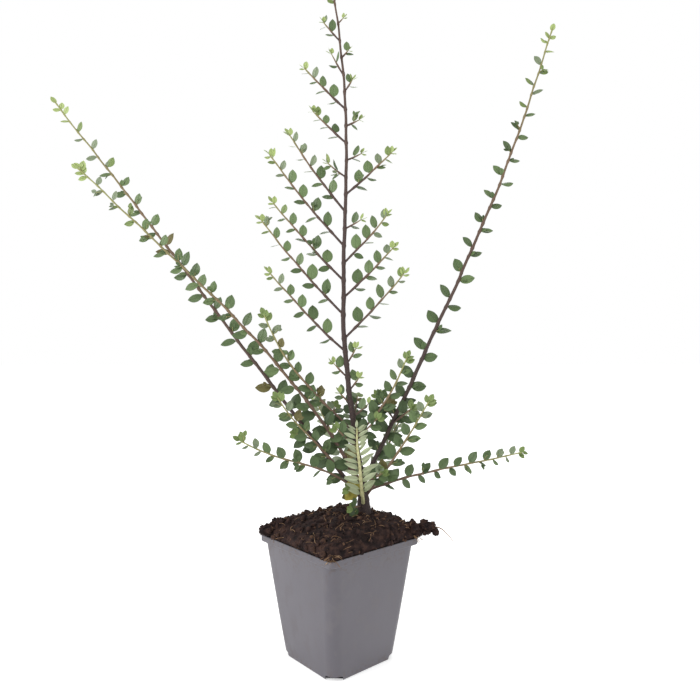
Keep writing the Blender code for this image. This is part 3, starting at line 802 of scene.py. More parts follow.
def make_drain_cutter():
    """One rounded block at each lower corner, through the wall and the floor's corner."""
    bm = bmesh.new()
    depth = 2 * POT_CORNER
    for quarter in range(4):
        turn = Matrix.Rotation(POT_TURN + math.pi / 4 + quarter * math.pi / 2, 4, "Z")
        place = Matrix.Translation((DRAIN_REACH + depth / 2, 0, 0))
        size = Matrix.Diagonal((depth, DRAIN_WIDTH, 2 * DRAIN_HEIGHT, 1))
        made = bmesh.ops.create_cube(bm, size=1.0, matrix=turn @ place @ size)
        edges = dict.fromkeys(edge for vert in made["verts"] for edge in vert.link_edges)
        top = [edge for edge in edges if all(vert.co.z > 0 for vert in edge.verts)]
        bmesh.ops.bevel(bm, geom=top, offset=DRAIN_ROUNDING, segments=DRAIN_ROUNDING_STEPS,
                        profile=0.5, affect="EDGES", material=-1)
    cutter = bpy.data.objects.new("drain_cutter", mesh_of("drain_cutter", bm))
    bpy.context.scene.collection.objects.link(cutter)
    cutter.hide_render = True
    return cutter


# Peat

def peat_lump(point):
    fine = noise.noise(point * PEAT_LUMPS_FINE)
    coarse = noise.noise(point * PEAT_LUMPS_COARSE)
    return (fine + coarse) * PEAT_LUMP


def peat_grit(point):
    return noise.fractal(point * PEAT_GRITS, 0.6, 2.0, 4) * PEAT_GRIT


def make_peat(surface):
    """The heap over the rim with lumps and grit, and the plug down inside the pot."""
    over_rim = POT_HEIGHT + GAP
    inset = POT_WALL + GAP
    squares = [(wall_half(PEAT_DEPTH) - inset, POT_CORNER - inset, PEAT_DEPTH),
               (wall_half(POT_HEIGHT) - inset, POT_CORNER - inset, over_rim)]
    for inward, rise in PEAT_HEAP:
        half = PEAT_EDGE_HALF * (1 - inward) + PEAT_FLAT_HALF * inward
        corner = LIP_CORNER + (half - LIP_CORNER) * inward * PEAT_CORNER_SHARE
        height = over_rim + (PEAT_TOP - over_rim) * rise
        squares.append((half, corner, height, (STUMP_FOOT.x * inward, STUMP_FOOT.y * inward)))
    bm = bmesh.new()
    stack_squares(bm, squares)
    bmesh.ops.triangulate(bm, faces=[face for face in bm.faces if len(face.verts) > 4])
    for _ in range(PEAT_SPLITS):
        long_edges = [edge for edge in bm.edges if edge.calc_length() > PEAT_LONGEST_EDGE
                      and min(v.co.z for v in edge.verts) > over_rim - 1e-5]
        bmesh.ops.subdivide_edges(bm, edges=long_edges, cuts=1, use_grid_fill=True)
    bmesh.ops.triangulate(bm, faces=bm.faces[:])
    for vert in bm.verts:
        if vert.co.z > over_rim + 1e-5:
            vert.co.z += peat_lump(vert.co)
            vert.co += (vert.co - PEAT_HEART).normalized() * peat_grit(vert.co)
    for centre, sizes in RIM_CLODS:
        matrix = Matrix.Translation(centre) @ Matrix.Diagonal((*sizes, 1))
        made = bmesh.ops.create_icosphere(bm, subdivisions=4, radius=1.0, matrix=matrix)
        for vert in made["verts"]:
            outward = (vert.co - Vector(centre)).normalized()
            swell = noise.fractal(vert.co * CLOD_LUMPS, 0.7, 2.0, 4)
            vert.co += outward * (swell * min(sizes) * CLOD_LUMP_SHARE)
    bmesh.ops.recalc_face_normals(bm, faces=bm.faces)
    tree = BVHTree.FromBMesh(bm)
    add_piece("peat_heap", mesh_of("peat_heap", bm), [surface], ["peat"])
    return tree


def crumb_master(seed, subdivisions):
    """A rough lump about one unit in radius."""
    bm = bmesh.new()
    bmesh.ops.create_icosphere(bm, subdivisions=subdivisions, radius=1.0)
    shift = Vector((seed * 7.3, seed * 3.1, 0))
    for vert in bm.verts:
        vert.co *= 1 + CRUMB_ROUGHNESS * noise.noise(vert.co * CRUMB_LUMPS + shift)
    return master_of(bm)


def on_peat(tree, rng):
    """A spot on the heap and the way it faces."""
    turned = Matrix.Rotation(POT_TURN, 3, "Z")
    flat = turned @ Vector((rng.uniform(-1, 1), rng.uniform(-1, 1), 0)) * (PEAT_EDGE_HALF * 1.01)
    found = tree.ray_cast(Vector((flat.x, flat.y, 0.2)), Vector((0, 0, -1)))
    return (found[0], found[1]) if found[0] else (None, None)


def make_crumbs(tree, surfaces):
    rng = random.Random(5)
    small = [crumb_master(seed, 1) for seed in range(4)]
    large = [crumb_master(seed, 2) for seed in range(4, 8)]
    bunch = Bunch()
    for count, sizes, masters in ((CRUMBS, CRUMB_SIZES, small), (CLODS, CLOD_SIZES, large)):
        for _ in range(count):
            spot, facing = on_peat(tree, rng)
            if not spot or spot.z < POT_HEIGHT:
                continue
            size = sizes[0] + (sizes[1] - sizes[0]) * rng.random() ** 2
            angle = rng.uniform(0, FULL_TURN)
            axis = (rng.random(), rng.random(), rng.random() + 0.1)
            turn = Matrix.Rotation(angle, 4, axis)
            wide = size * rng.uniform(*CRUMB_STRETCH)
            deep = size * rng.uniform(*CRUMB_STRETCH)
            stretch = Matrix.Diagonal((wide, deep, size * CRUMB_FLATNESS, 1))
            master = rng.choice(masters)
            matrix = Matrix.Translation(spot + facing * (size * CRUMB_OUT)) @ turn @ stretch
            tone = rng.choice(CRUMB_TONES)
            bunch.add(master, placed(master.points, matrix), master.slots + tone, 0.0)
    turned = Matrix.Rotation(POT_TURN, 3, "Z")
    for _ in range(EDGE_CLODS):
        quarter = Matrix.Rotation(rng.randrange(4) * math.pi / 2, 3, "Z")
        outward = rng.uniform(*EDGE_CLOD_REACH)
        height = POT_HEIGHT + rng.uniform(*EDGE_CLOD_RISE)
        spot = turned @ (quarter @ Vector((outward, rng.uniform(-1, 1) * PEAT_EDGE_HALF, height)))
        size = rng.uniform(*EDGE_CLOD_SIZES) * rng.uniform(0.5, 1.0)
        turn = Matrix.Rotation(rng.uniform(0, FULL_TURN), 4, "X")
        stretch = Matrix.Diagonal((size, size * rng.uniform(*CRUMB_STRETCH), size * CRUMB_FLATNESS, 1))
        master = rng.choice(large)
        matrix = Matrix.Translation(spot) @ turn @ stretch
        tone = rng.choice(CRUMB_TONES)
        bunch.add(master, placed(master.points, matrix), master.slots + tone, 0.0)
    for centre, sizes in RIM_CLODS:
        for _ in range(RIM_CRUMBS):
            outward = Vector((rng.uniform(-1, 1), rng.uniform(-1, 1), rng.uniform(-0.7, 1)))
            outward.normalize()
            found = tree.ray_cast(Vector(centre) + outward * (2.5 * max(sizes)), -outward)
            if not found[0]:
                continue
            size = rng.uniform(*RIM_CRUMB_SIZES)
            turn = Matrix.Rotation(rng.uniform(0, FULL_TURN), 4, outward)
            deep = size * rng.uniform(*CRUMB_STRETCH)
            stretch = Matrix.Diagonal((size, deep, size * RIM_CRUMB_FLATNESS, 1))
            master = rng.choice(small)
            matrix = Matrix.Translation(found[0]) @ turn @ stretch
            tone = rng.choice(RIM_CRUMB_TONES)
            bunch.add(master, placed(master.points, matrix), master.slots + tone, 0.0)
    bunch.piece("peat_crumbs", surfaces, "peat", ["peat"])


# Tubes

TUBES = {}


def tube_master(sides, rings):
    """A unit tube along +Z with closed ends, made once for each fineness."""
    if (sides, rings) not in TUBES:
        bm = bmesh.new()
        bmesh.ops.create_circle(bm, cap_ends=True, cap_tris=False, segments=sides, radius=1.0)
        edges = bm.edges[:]
        for _ in range(rings):
            grown = bmesh.ops.extrude_edge_only(bm, edges=edges)["geom"]
            fresh = {part for part in grown if isinstance(part, bmesh.types.BMVert)}
            bmesh.ops.translate(bm, verts=list(fresh), vec=(0, 0, 1))
            edges = [edge for edge in bm.edges if edge.verts[0] in fresh and edge.verts[1] in fresh]
        bmesh.ops.edgeloop_fill(bm, edges=edges)
        bmesh.ops.recalc_face_normals(bm, faces=bm.faces)
        TUBES[sides, rings] = master_of(bm)
    return TUBES[sides, rings]


def sweep(bunch, spine, radii, ages, sides, slot=0, relief=0.0):
    """A tube through the points of spine, turned as little as possible from ring to ring."""
    rings = len(spine) - 1
    master = tube_master(sides, rings)
    heading = (spine[1] - spine[0]).normalized()
    facing = heading.to_track_quat("Z", "Y")
    frames = []
    for i, centre in enumerate(spine):
        ahead = (spine[min(i + 1, rings)] - spine[max(i - 1, 0)]).normalized()
        facing = heading.rotation_difference(ahead) @ facing
        heading = ahead
        frames.append(facing.to_matrix())
    points = []
    steps = []
    for x, y, z in master.points:
        i = round(z)
        steps.append(i)
        radius = radii[i]
        outward = frames[i] @ Vector((x, y, 0))
        spot = spine[i] + outward * radius
        if relief:
            drawn_out = Vector((spot.x, spot.y, spot.z * RELIEF_STRETCH))
            swell = noise.fractal(drawn_out * RELIEF_GRAIN, 0.8, 2.0, 3)
            spot += outward * (radius * relief * swell)
        points.append(spot[:])
    bunch.add(master, np.array(points), master.slots + slot, np.array(ages)[steps])


def limb_tube(bunch, limb, start, end, sides, step, ages, nodes=(), slot=0, relief=0.0, thin=1.0):
    """A limb with a swelling at each of its nodes. Ages are those at start and end."""
    length = length_of(limb)
    rings = max(3, round(length * (end - start) / step))
    spine = []
    radii = []
    shades = []
    for i in range(rings + 1):
        share = i / rings
        along = start + (end - start) * share
        near = min((abs(along - node_at) * length for node_at in nodes), default=1.0)
        swell = 1 + NODE_SWELL * math.exp(-(near / NODE_SWELL_LENGTH) ** 2)
        radius = radius_at(limb, along) * thin
        if radius > STOUT_RADIUS:
            swell = 1 + (swell - 1) * 0.5
        spine.append(axis_at(limb, along))
        radii.append(radius * swell)
        shades.append(ages[0] + (ages[1] - ages[0]) * share)
    radii[-1] *= LIMB_END_SHARE
    sweep(bunch, spine, radii, shades, sides, slot, relief)


# Leaves

Leaf = namedtuple("Leaf", "root heading normal length along")


def blade_normal(heading, faces_up):
    across_heading = faces_up - heading * faces_up.dot(heading)
    return across_heading.normalized()


def row_side(limb, ahead):
    """Across the twig, away from the plant's middle line."""
    side = ahead.cross(Vector((0, 1, 0))).normalized()
    leans_right = limb.tip[0] > limb.foot[0]
    return -side if leans_right else side


def leaf_from(limb, along, ahead, side, lean, out_of_plane, length, forward):
    heading = ahead * math.cos(lean) + side * math.sin(lean)
    heading = heading + ahead.cross(side) * math.sin(out_of_plane)
    heading.normalize()
    goes_back = limb.tip[1] - limb.foot[1] > BACKWARD_REACH
    faces_up = Vector((0, forward if goes_back else -forward, 1))
    return Leaf(axis_at(limb, along), heading, blade_normal(heading, faces_up), length, along)


def leaves_of(shoot, rng):
    """Near pairs of leaves along the twig, smaller towards its tip, then three at the tip."""
    limb = shoot.limb
    length = length_of(limb)
    found = []
    travelled = shoot.start * length + shoot.bare
    while travelled < length - LAST_PAIR_GAP:
        along = travelled / length
        size = shoot.leaf * (1 - TIPWARD_SHRINK * along ** TIPWARD_SHRINK_POWER)
        for row, lag in ((1, 0.0), (-1, PAIR_LAG)):
            spot = along + lag * shoot.pitch / length
            lean = shoot.spread + rng.uniform(-LEAF_TILT, LEAF_TILT)
            out_of_plane = rng.uniform(-LEAF_TILT, LEAF_TILT)
            scale = rng.uniform(*LEAF_SIZES)
            companion = rng.random() < shoot.companions
            if spot > LAST_LEAF_ALONG:
                continue
            ahead = direction_at(limb, spot)
            side = row_side(limb, ahead) * row
            blade = size * scale
            found.append(leaf_from(limb, spot, ahead, side, lean, out_of_plane, blade, shoot.forward))
            if companion:
                blade *= COMPANION_SHARE
                lean -= COMPANION_SPREAD
                out_of_plane *= -3
                found.append(leaf_from(limb, spot, ahead, side, lean, out_of_plane, blade, shoot.forward))
        travelled += shoot.pitch * (1 - TIPWARD_CLOSING * along)
    ahead = direction_at(limb, TIP_PAIR_ALONG)
    side = row_side(limb, ahead)
    tip_size = shoot.leaf * TIP_LEAF_SHARE
    found.append(leaf_from(limb, TIP_LEAF_ALONG, ahead, side, 0.0, 0.0, tip_size, shoot.forward))
    for across_twig in (side, -side):
        lean = ROW_SPREAD * TIP_PAIR_SPREAD + rng.uniform(-LEAF_TILT, LEAF_TILT)
        out_of_plane = rng.uniform(-LEAF_TILT, LEAF_TILT)
        found.append(leaf_from(limb, TIP_PAIR_ALONG, ahead, across_twig, lean, out_of_plane,
                               tip_size, shoot.forward))
    return found


def leaf_outline(along):
    """Half width as a share of the widest: an egg-shaped blade with a short point."""
    body = math.sin(math.pi * along ** LEAF_WIDEST) ** LEAF_FULLNESS
    pointed = max(0.0, along - LEAF_POINT_FROM) / (1 - LEAF_POINT_FROM)
    return body * (1 - LEAF_POINT_SHARE * pointed)


def leaf_master(slimness, fold, droop, cup, twist):
    """A leaf one unit long along +Y, upper side to +Z: two thin sheets joined at the outline."""
    bm = bmesh.new()
    bmesh.ops.create_grid(bm, x_segments=2, y_segments=LEAF_ROWS, size=0.5)
    layer = bm.verts.layers.float_vector.new("map")
    rim = set()
    for vert in bm.verts:
        along = vert.co.y + 0.5
        side = 2 * vert.co.x
        half = slimness / 2 * leaf_outline(along)
        vert[layer] = (0.5 + side / 2, along, 0.0)
        if abs(side) > 0.9 or along < 0.01 or along > 0.99:
            rim.add(vert)
        raised = fold * abs(side) * half - cup * (abs(side) * half) ** 2 / slimness
        turned = twist * (along - 0.3) * side * half
        vert.co = (side * half, along, raised + turned - droop * (along ** 2))
    upper = bm.faces[:]
    bmesh.ops.recalc_face_normals(bm, faces=upper)
    if sum(face.normal.z for face in upper) < 0:
        bmesh.ops.reverse_faces(bm, faces=upper)
    copied = bmesh.ops.duplicate(bm, geom=bm.verts[:] + bm.edges[:] + upper)
    lower = [part for part in copied["geom"] if isinstance(part, bmesh.types.BMFace)]
    bmesh.ops.reverse_faces(bm, faces=lower)
    for face in lower:
        face.material_index = 1
    origin = copied["vert_map"]
    for vert in {vert for face in lower for vert in face.verts}:
        if origin[vert] not in rim:
            vert.co.z -= LEAF_THICKNESS
    bmesh.ops.remove_doubles(bm, verts=bm.verts[:], dist=0.0005)
    return master_of(bm)


def make_leaf_masters(slimness):
    return [leaf_master(slimness, *shape) for shape in LEAF_SHAPES]


PALE_SHOOTS = ("front_shoot",)
YELLOWED_SPUR = "spur_01"
# A spray this old or older has no lime tips
OLD_SPRAY = 0.34
TIP_FROM = 0.94
NEAR_TIP_FROM = 0.82
FRESH_SHARE = 0.55
OLIVE_SHARE = 0.04
OLIVE_YOUTH = 0.45
TINT_RISE = 0.35
TINT_MIDDLE = 0.4
TINT_SPREAD = 0.14
TINT_LIMITS = ((0.22, "leaf_deep"), (0.46, "leaf_dark"), (0.70, "leaf_mid"), (0.84, "leaf_grey"))


def leaf_tint(shoot, along, youth, rng):
    """Tints go by spray and by age: dark and old at the foot, lime at the tips."""
    draw = rng.random()
    if shoot.name in PALE_SHOOTS:
        return "leaf_silver"
    if along > TIP_FROM:
        return "leaf_lime" if youth > OLD_SPRAY else "leaf_fresh"
    if along > NEAR_TIP_FROM:
        return "leaf_fresh" if draw < FRESH_SHARE and youth > OLD_SPRAY else "leaf_grey"
    if shoot.name == YELLOWED_SPUR:
        return "leaf_yellow"
    if draw < OLIVE_SHARE and youth < OLIVE_YOUTH:
        return "leaf_olive"
    shift = youth + TINT_RISE * (along - TINT_MIDDLE) + rng.uniform(-TINT_SPREAD, TINT_SPREAD)
    for limit, name in TINT_LIMITS:
        if shift < limit:
            return name
    return "leaf_fresh"


class Foliage:
    """The twigs and the leaves of one family of shoots."""

    def __init__(self, masters, slim_masters, petiole):
        self.twigs = Bunch()
        self.leaves = Bunch()
        self.masters = masters
        self.slim_masters = slim_masters
        self.petiole = petiole
        self.tints = list(TINTS)

    def leaf(self, leaf, tint, rng, slim=False):
        """One blade on its petiole, rolled and nodding a little."""
        side = leaf.heading.cross(leaf.normal)
        roll = Matrix.Rotation(rng.uniform(-LEAF_ROLL, LEAF_ROLL), 3, leaf.heading)
        nod = Matrix.Rotation(rng.uniform(-LEAF_NOD, LEAF_NOD), 3, side)
        heading = nod @ leaf.heading
        normal = roll @ (nod @ leaf.normal)
        side = heading.cross(normal)
        stalk = leaf.length * PETIOLE_SHARE
        base = leaf.root + leaf.heading * stalk
        blade = leaf.length * LEAF_SCALE
        width = blade * rng.uniform(*LEAF_WIDTHS)
        matrix = Matrix((side * width, heading * blade, normal * blade)).transposed().to_4x4()
        matrix.translation = base
        master = rng.choice(self.slim_masters if slim else self.masters)
        upper = self.tints.index(tint)
        lower = self.tints.index(UNDERSIDE[tint])
        slots = np.where(master.slots == 0, upper, lower)
        self.leaves.add(master, placed(master.points, matrix), slots, 0.0)
        reach = base + heading * (blade * 0.04) - leaf.root
        facing = reach.to_track_quat("Z", "Y").to_matrix().to_4x4()
        size = Matrix.Diagonal((PETIOLE_RADIUS, PETIOLE_RADIUS, reach.length, 1))
        stalk_place = Matrix.Translation(leaf.root) @ facing @ size
        points = placed(self.petiole.points, stalk_place)
        self.twigs.add(self.petiole, points, self.petiole.slots, PETIOLE_AGE)

    def twiglet(self, leaf, tint, rng):
        """A very short shoot in the leaf's angle, with two or three leaflets at its tip."""
        length = rng.uniform(*TWIGLET_LENGTHS)
        side = leaf.heading.cross(leaf.normal)
        reach = leaf.heading + leaf.normal * rng.uniform(0.1, 0.6) + side * rng.uniform(-0.5, 0.5)
        reach.normalize()
        tip = leaf.root + reach * length
        spine = [leaf.root.lerp(tip, share) for share in (0.0, 0.5, 1.0)]
        radii = (TWIGLET_RADIUS, TWIGLET_RADIUS * 0.8, TWIGLET_RADIUS * 0.5)
        sweep(self.twigs, spine, radii, TWIGLET_AGES, 4)
        for i in range(rng.choice((2, 3))):
            turn = Matrix.Rotation(i * 2.1 + rng.uniform(-0.4, 0.4), 3, reach)
            heading = (reach + turn @ (side * 0.75)).normalized()
            normal = blade_normal(heading, leaf.normal + reach * 0.3)
            size = rng.uniform(*LEAFLET_SIZES)
            self.leaf(Leaf(tip, heading, normal, size, leaf.along), tint, rng)


def lower_row(shoot, leaf, rng):
    """A leaf below its twig is smaller, and is seen nearly edge-on."""
    if not shoot.name.startswith(("side_shoot", "low_shoot")) or leaf.heading.z > LOWER_ROW_LIMIT:
        return leaf
    heading = (leaf.heading + Vector((0, 0, rng.uniform(*LOWER_ROW_SAG)))).normalized()
    normal = blade_normal(heading, Vector((0, -rng.uniform(*LOWER_ROW_FORWARD), 1)))
    return leaf._replace(heading=heading, normal=normal, length=leaf.length * LOWER_ROW_SHARE)


def grow(foliage, shoot, youth, wood_ages, draw_twig, twiglet_chance, end=1.0):
    """The shoot's twig, the leaves of the shared rule, and the finer twigs that carry leaflets."""
    rng = random.Random(shoot.name)
    if shoot.name in PALE_SHOOTS:
        shoot = shoot._replace(pitch=SILVER_PITCH, leaf=SILVER_LEAF)
    found = [leaf for leaf in leaves_of(shoot, rng) if leaf.along < end]
    dress = random.Random(shoot.name + " dress")
    pale = shoot.name in PALE_SHOOTS
    if draw_twig:
        nodes = [leaf.along for leaf in found]
        limb_tube(foliage.twigs, shoot.limb, 0.0, 1.0, TWIG_SIDES, TWIG_STEP, wood_ages, nodes,
                  1 if pale else 0)
    full = shoot.leaf
    for leaf in found:
        tint = leaf_tint(shoot, leaf.along, youth, dress)
        foliage.leaf(lower_row(shoot, leaf, dress), tint, dress, slim=pale)
        if not pale and leaf.length > full * TWIGLET_LEAF_LEAST and dress.random() < twiglet_chance:
            foliage.twiglet(leaf, tint, dress)


# Shoots by the shared rule

def clear_start(limb, parent_direction, parent_radius):
    """How far along a limb its end cap first stands clear of the limb it grows from."""
    slope = direction_at(limb, 0.02)
    cosine = abs(slope.dot(parent_direction))
    sine = math.sqrt(max(1 - cosine * cosine, 0.04))
    reach = (parent_radius + 3 * GAP + limb.foot_radius * cosine) / sine
    return reach / length_of(limb)


def central_nodes():
    """Heights on the central stem where a side shoot leaves it, lowest first."""
    heights = []
    height = NODE_FIRST
    for i in range(len(LEFT_SIDE_SHOOTS) + len(RIGHT_SIDE_SHOOTS)):
        heights.append(height)
        if i < LOW_NODES - 1:
            height += LOW_NODE_STEP
        elif i == LOW_NODES - 1:
            height += NODE_GAP
        else:
            height += HIGH_NODE_STEP
    return heights


def side_shoot(name, height, length, lean, side, depth):
    along = (height - CENTRAL.foot[2]) / (CENTRAL.tip[2] - CENTRAL.foot[2])
    foot = point_at(CENTRAL, along)
    outward = Vector((side * math.cos(depth), math.sin(depth), 0))
    reach = outward * math.sin(lean) + Vector((0, 0, math.cos(lean)))
    bow = -side * SIDE_BOW_SHARE * length
    stoutness = min(1.0, SIDE_STOUT_LEAST + length / SIDE_STOUT_LENGTH)
    foot_radius = SIDE_TIP_RADIUS + (SIDE_FOOT_RADIUS - SIDE_TIP_RADIUS) * stoutness
    limb = Limb(tuple(foot), tuple(foot + reach * length), bow, 0.0, foot_radius, SIDE_TIP_RADIUS)
    start = clear_start(limb, direction_at(CENTRAL, along), radius_at(CENTRAL, along))
    pitch = SIDE_PITCH_LEAST + SIDE_PITCH_SHARE * length
    leaf = SIDE_LEAF * (SIDE_LEAF_LEAST + (1 - SIDE_LEAF_LEAST) * min(1.0, length / SIDE_LEAF_LENGTH))
    leaf *= 1.0 - SIDE_LEAF_UPWARD_SHRINK * along ** 3
    return Shoot(name, limb, start, pitch, leaf, ROW_SPREAD, 0.0, SIDE_BARE_SHARE * length, LEAF_FORWARD)


def side_shoots():
    rng = random.Random(11)
    found = []
    turns = ((1, RIGHT_SIDE_SHOOTS, "right"), (-1, LEFT_SIDE_SHOOTS, "left"))
    for i, height in enumerate(central_nodes()):
        side, rows, word = turns[i % 2]
        length, lean = rows[i // 2]
        depth = rng.uniform(-SIDE_DEPTH_TURN, SIDE_DEPTH_TURN)
        name = f"side_shoot_{word}_{i // 2 + 1:02d}"
        found.append(side_shoot(name, height, length, math.radians(lean), side, depth))
    return found


def branch(name, parent, along, tip, bow, sway, foot_radius, pitch, leaf, companions, bare):
    """A leafy shoot that leaves a limb, or the stump where parent is None."""
    if parent is None:
        foot = STUMP_FOOT.lerp(STUMP_TOP, along)
        direction = (STUMP_TOP - STUMP_FOOT).normalized()
        radius = stump_radius(along)
    else:
        foot = point_at(parent, along)
        direction = direction_at(parent, along)
        radius = radius_at(parent, along)
    limb = Limb(tuple(foot), tip, bow, sway, foot_radius, SIDE_TIP_RADIUS)
    start = clear_start(limb, direction, radius)
    return Shoot(name, limb, start, pitch, leaf, ROW_SPREAD, companions, bare, LEAF_FORWARD_LOW)


def low_shoots():
    return [
        branch("short_shoot_left", CENTRAL, 0.09, (-0.057, -0.020, 0.270), 0.0068, -0.001,
               0.0011, 0.0150, 0.0115, 0.2, 0.030),
        branch("third_shoot_left", LEFT_OUTER, 0.06, (-0.046, -0.026, 0.207), 0.0004, -0.0012,
               0.0010, 0.0140, 0.0120, 0.3, 0.016),
        branch("low_shoot_left", None, 0.45, (-0.076, -0.018, 0.174), -0.0043, -0.0030,
               0.0009, 0.0150, 0.0125, 0.2, 0.020),
        branch("low_shoot_right", None, 0.60, (0.150, 0.010, 0.159), 0.0029, 0.0011,
               0.0010, 0.0150, 0.0120, 0.5, 0.012),
        branch("lower_shoot_right", None, 0.40, (0.070, -0.015, 0.203), -0.0015, -0.0003,
               0.0011, 0.0140, 0.0130, 0.2, 0.014),
        branch("upper_shoot_right", CENTRAL, 0.085, (0.053, -0.009, 0.237), -0.0049, -0.0004,
               0.0010, 0.0130, 0.0120, 0.3, 0.014),
        branch("front_shoot", None, 0.18, (0.012, -0.066, 0.190), 0.0008, -0.0003,
               0.0016, 0.0100, 0.0135, 0.0, 0.008),
        branch("back_shoot_left", None, 0.50, (-0.022, 0.088, 0.196), 0.0, 0.0,
               0.0014, 0.0110, 0.0130, 0.2, 0.010),
        branch("back_shoot_right", None, 0.30, (0.062, 0.080, 0.190), 0.0, 0.0,
               0.0014, 0.0110, 0.0130, 0.2, 0.010),
    ]


def spurs():
    """Short leafy twigs round the foot of the plant."""
    found = []
    for i, (parent, along, turn, lean, length) in enumerate(SPURS):
        foot = point_at(parent, along) if parent else STUMP_FOOT.lerp(STUMP_TOP, along)
        turn = math.radians(turn)
        lean = math.radians(lean)
        flat = Vector((math.cos(turn), math.sin(turn), 0))
        tip = foot + flat * (math.sin(lean) * length) + Vector((0, 0, math.cos(lean) * length))
        name = f"spur_{i + 1:02d}"
        found.append(branch(name, parent, along, tuple(tip), 0.0, 0.0, 0.0008, 0.0095, 0.0125, 0.3, 0.003))
    return found


def leafy_end(name, limb, start, pitch, leaf, companions):
    gap = GAP / length_of(limb)
    return Shoot(name, limb, start + gap, pitch, leaf, STEM_SPREAD, companions, 0.004, LEAF_FORWARD_LOW)


# Bark of the stump and the four long limbs

def make_bark(surface, long_shoots):
    bunch = Bunch()
    spine = []
    radii = []
    for i in range(STUMP_RINGS + 1):
        along = -STUMP_BURIED + (1 + STUMP_BURIED) * i / STUMP_RINGS
        spine.append(STUMP_FOOT.lerp(STUMP_TOP, along))
        radii.append(stump_radius(max(along, -0.05)) * (1 + 0.05 * math.sin(5 * along)))
    ages = [STUMP_AGE] * (STUMP_RINGS + 1)
    sweep(bunch, spine, radii, ages, BARK_SIDES, relief=RELIEF_SHARE * STUMP_RELIEF)
    nodes = {limb: [leaf.along for leaf in leaves_of(shoot, random.Random(shoot.name))]
             for limb, shoot in long_shoots.items()}
    rise = CENTRAL.tip[2] - CENTRAL.foot[2]
    nodes[CENTRAL] = [(height - CENTRAL.foot[2]) / rise for height in central_nodes()] + nodes[CENTRAL]
    woods = ((CENTRAL, 0.06, 0.55, 0.96), (RIGHT, 0.06, 0.90, 0.90),
             (LEFT_OUTER, 0.10, 0.92, 0.86), (LEFT_INNER, 0.44, 0.92, 0.78))
    for limb, old, young, thin in woods:
        limb_tube(bunch, limb, 0.0, 1.0, BARK_SIDES, BARK_STEP, (old, young), nodes[limb],
                  relief=RELIEF_SHARE, thin=thin)
    bunch.piece("bark_relief", [surface], "bark",
                ["stump", "stem_central", "bough_right", "bough_left_outer", "bough_left_inner"])


def add_fibre(bunch, spine, radius):
    radii = [radius] * FIBRE_STEPS + [radius * FIBRE_END_SHARE]
    sweep(bunch, spine, radii, [FIBRE_AGE] * (FIBRE_STEPS + 1), 4)


def make_fibres(tree, surface):
    """Fine roots and peat fibres that lie on the heap, and one loose root at the rim."""
    rng = random.Random(9)
    bunch = Bunch()
    for _ in range(FIBRES):
        spot, facing = on_peat(tree, rng)
        if not spot or spot.z < POT_HEIGHT:
            continue
        turn = rng.uniform(0, FULL_TURN)
        heading = Vector((math.cos(turn), math.sin(turn), rng.uniform(-0.2, 0.5))).normalized()
        length = rng.uniform(*FIBRE_LENGTHS)
        spine = []
        for i in range(FIBRE_STEPS + 1):
            share = i / FIBRE_STEPS
            lift = FIBRE_LIFT + FIBRE_ARCH * math.sin(3 * share)
            ahead = spot + heading * (length * (share - 0.5)) + facing * lift
            spine.append(ahead + noise.noise_vector(ahead * FIBRE_BENDS) * FIBRE_BEND)
        add_fibre(bunch, spine, FIBRE_RADIUS * rng.uniform(0.6, 1.5))
    rim = square_spots(PEAT_EDGE_HALF, LIP_CORNER, POT_HEIGHT)
    for _ in range(RIM_FRINGE):
        i = rng.randrange(len(rim))
        spot = rim[i].lerp(rim[(i + 1) % len(rim)], rng.random())
        outward = Vector((spot.x, spot.y, 0)).normalized()
        spot = spot * FRINGE_INWARD + Vector((0, 0, rng.uniform(*FRINGE_RISE)))
        sideways = outward.cross(Vector((0, 0, 1))) * rng.uniform(-1.2, 1.2)
        heading = outward * rng.uniform(0.2, 0.9) + sideways + Vector((0, 0, rng.uniform(-0.3, 0.5)))
        heading.normalize()
        length = rng.uniform(*FRINGE_LENGTHS)
        spine = []
        for k in range(FIBRE_STEPS + 1):
            share = k / FIBRE_STEPS
            ahead = spot + heading * (length * share) - Vector((0, 0, FRINGE_SAG * share * share))
            spine.append(ahead + noise.noise_vector(ahead * FRINGE_BENDS) * FRINGE_BEND)
        add_fibre(bunch, spine, FIBRE_RADIUS * rng.uniform(0.6, 1.4))
    curve = [Vector(point) for point in RIM_ROOT]
    spine = []
    for i in range(RIM_ROOT_STEPS + 1):
        share = i / RIM_ROOT_STEPS
        outer = curve[0].lerp(curve[1], share).lerp(curve[1].lerp(curve[2], share), share)
        inner = curve[1].lerp(curve[2], share).lerp(curve[2].lerp(curve[3], share), share)
        spot = outer.lerp(inner, share)
        spine.append(spot + noise.noise_vector(spot * RIM_ROOT_BENDS) * RIM_ROOT_BEND)
    radii = [RIM_ROOT_RADIUS - RIM_ROOT_THINNING * i for i in range(RIM_ROOT_STEPS + 1)]
    sweep(bunch, spine, radii, [FIBRE_AGE] * (RIM_ROOT_STEPS + 1), 5)
    bunch.piece("peat_fibres", [surface], "peat", ["peat"])


def petiole_master():
    bm = bmesh.new()
    bmesh.ops.create_cone(bm, cap_ends=True, segments=4, radius1=1.3, radius2=0.8, depth=1.0,
                          matrix=Matrix.Translation((0, 0, 0.5)))
    return master_of(bm)


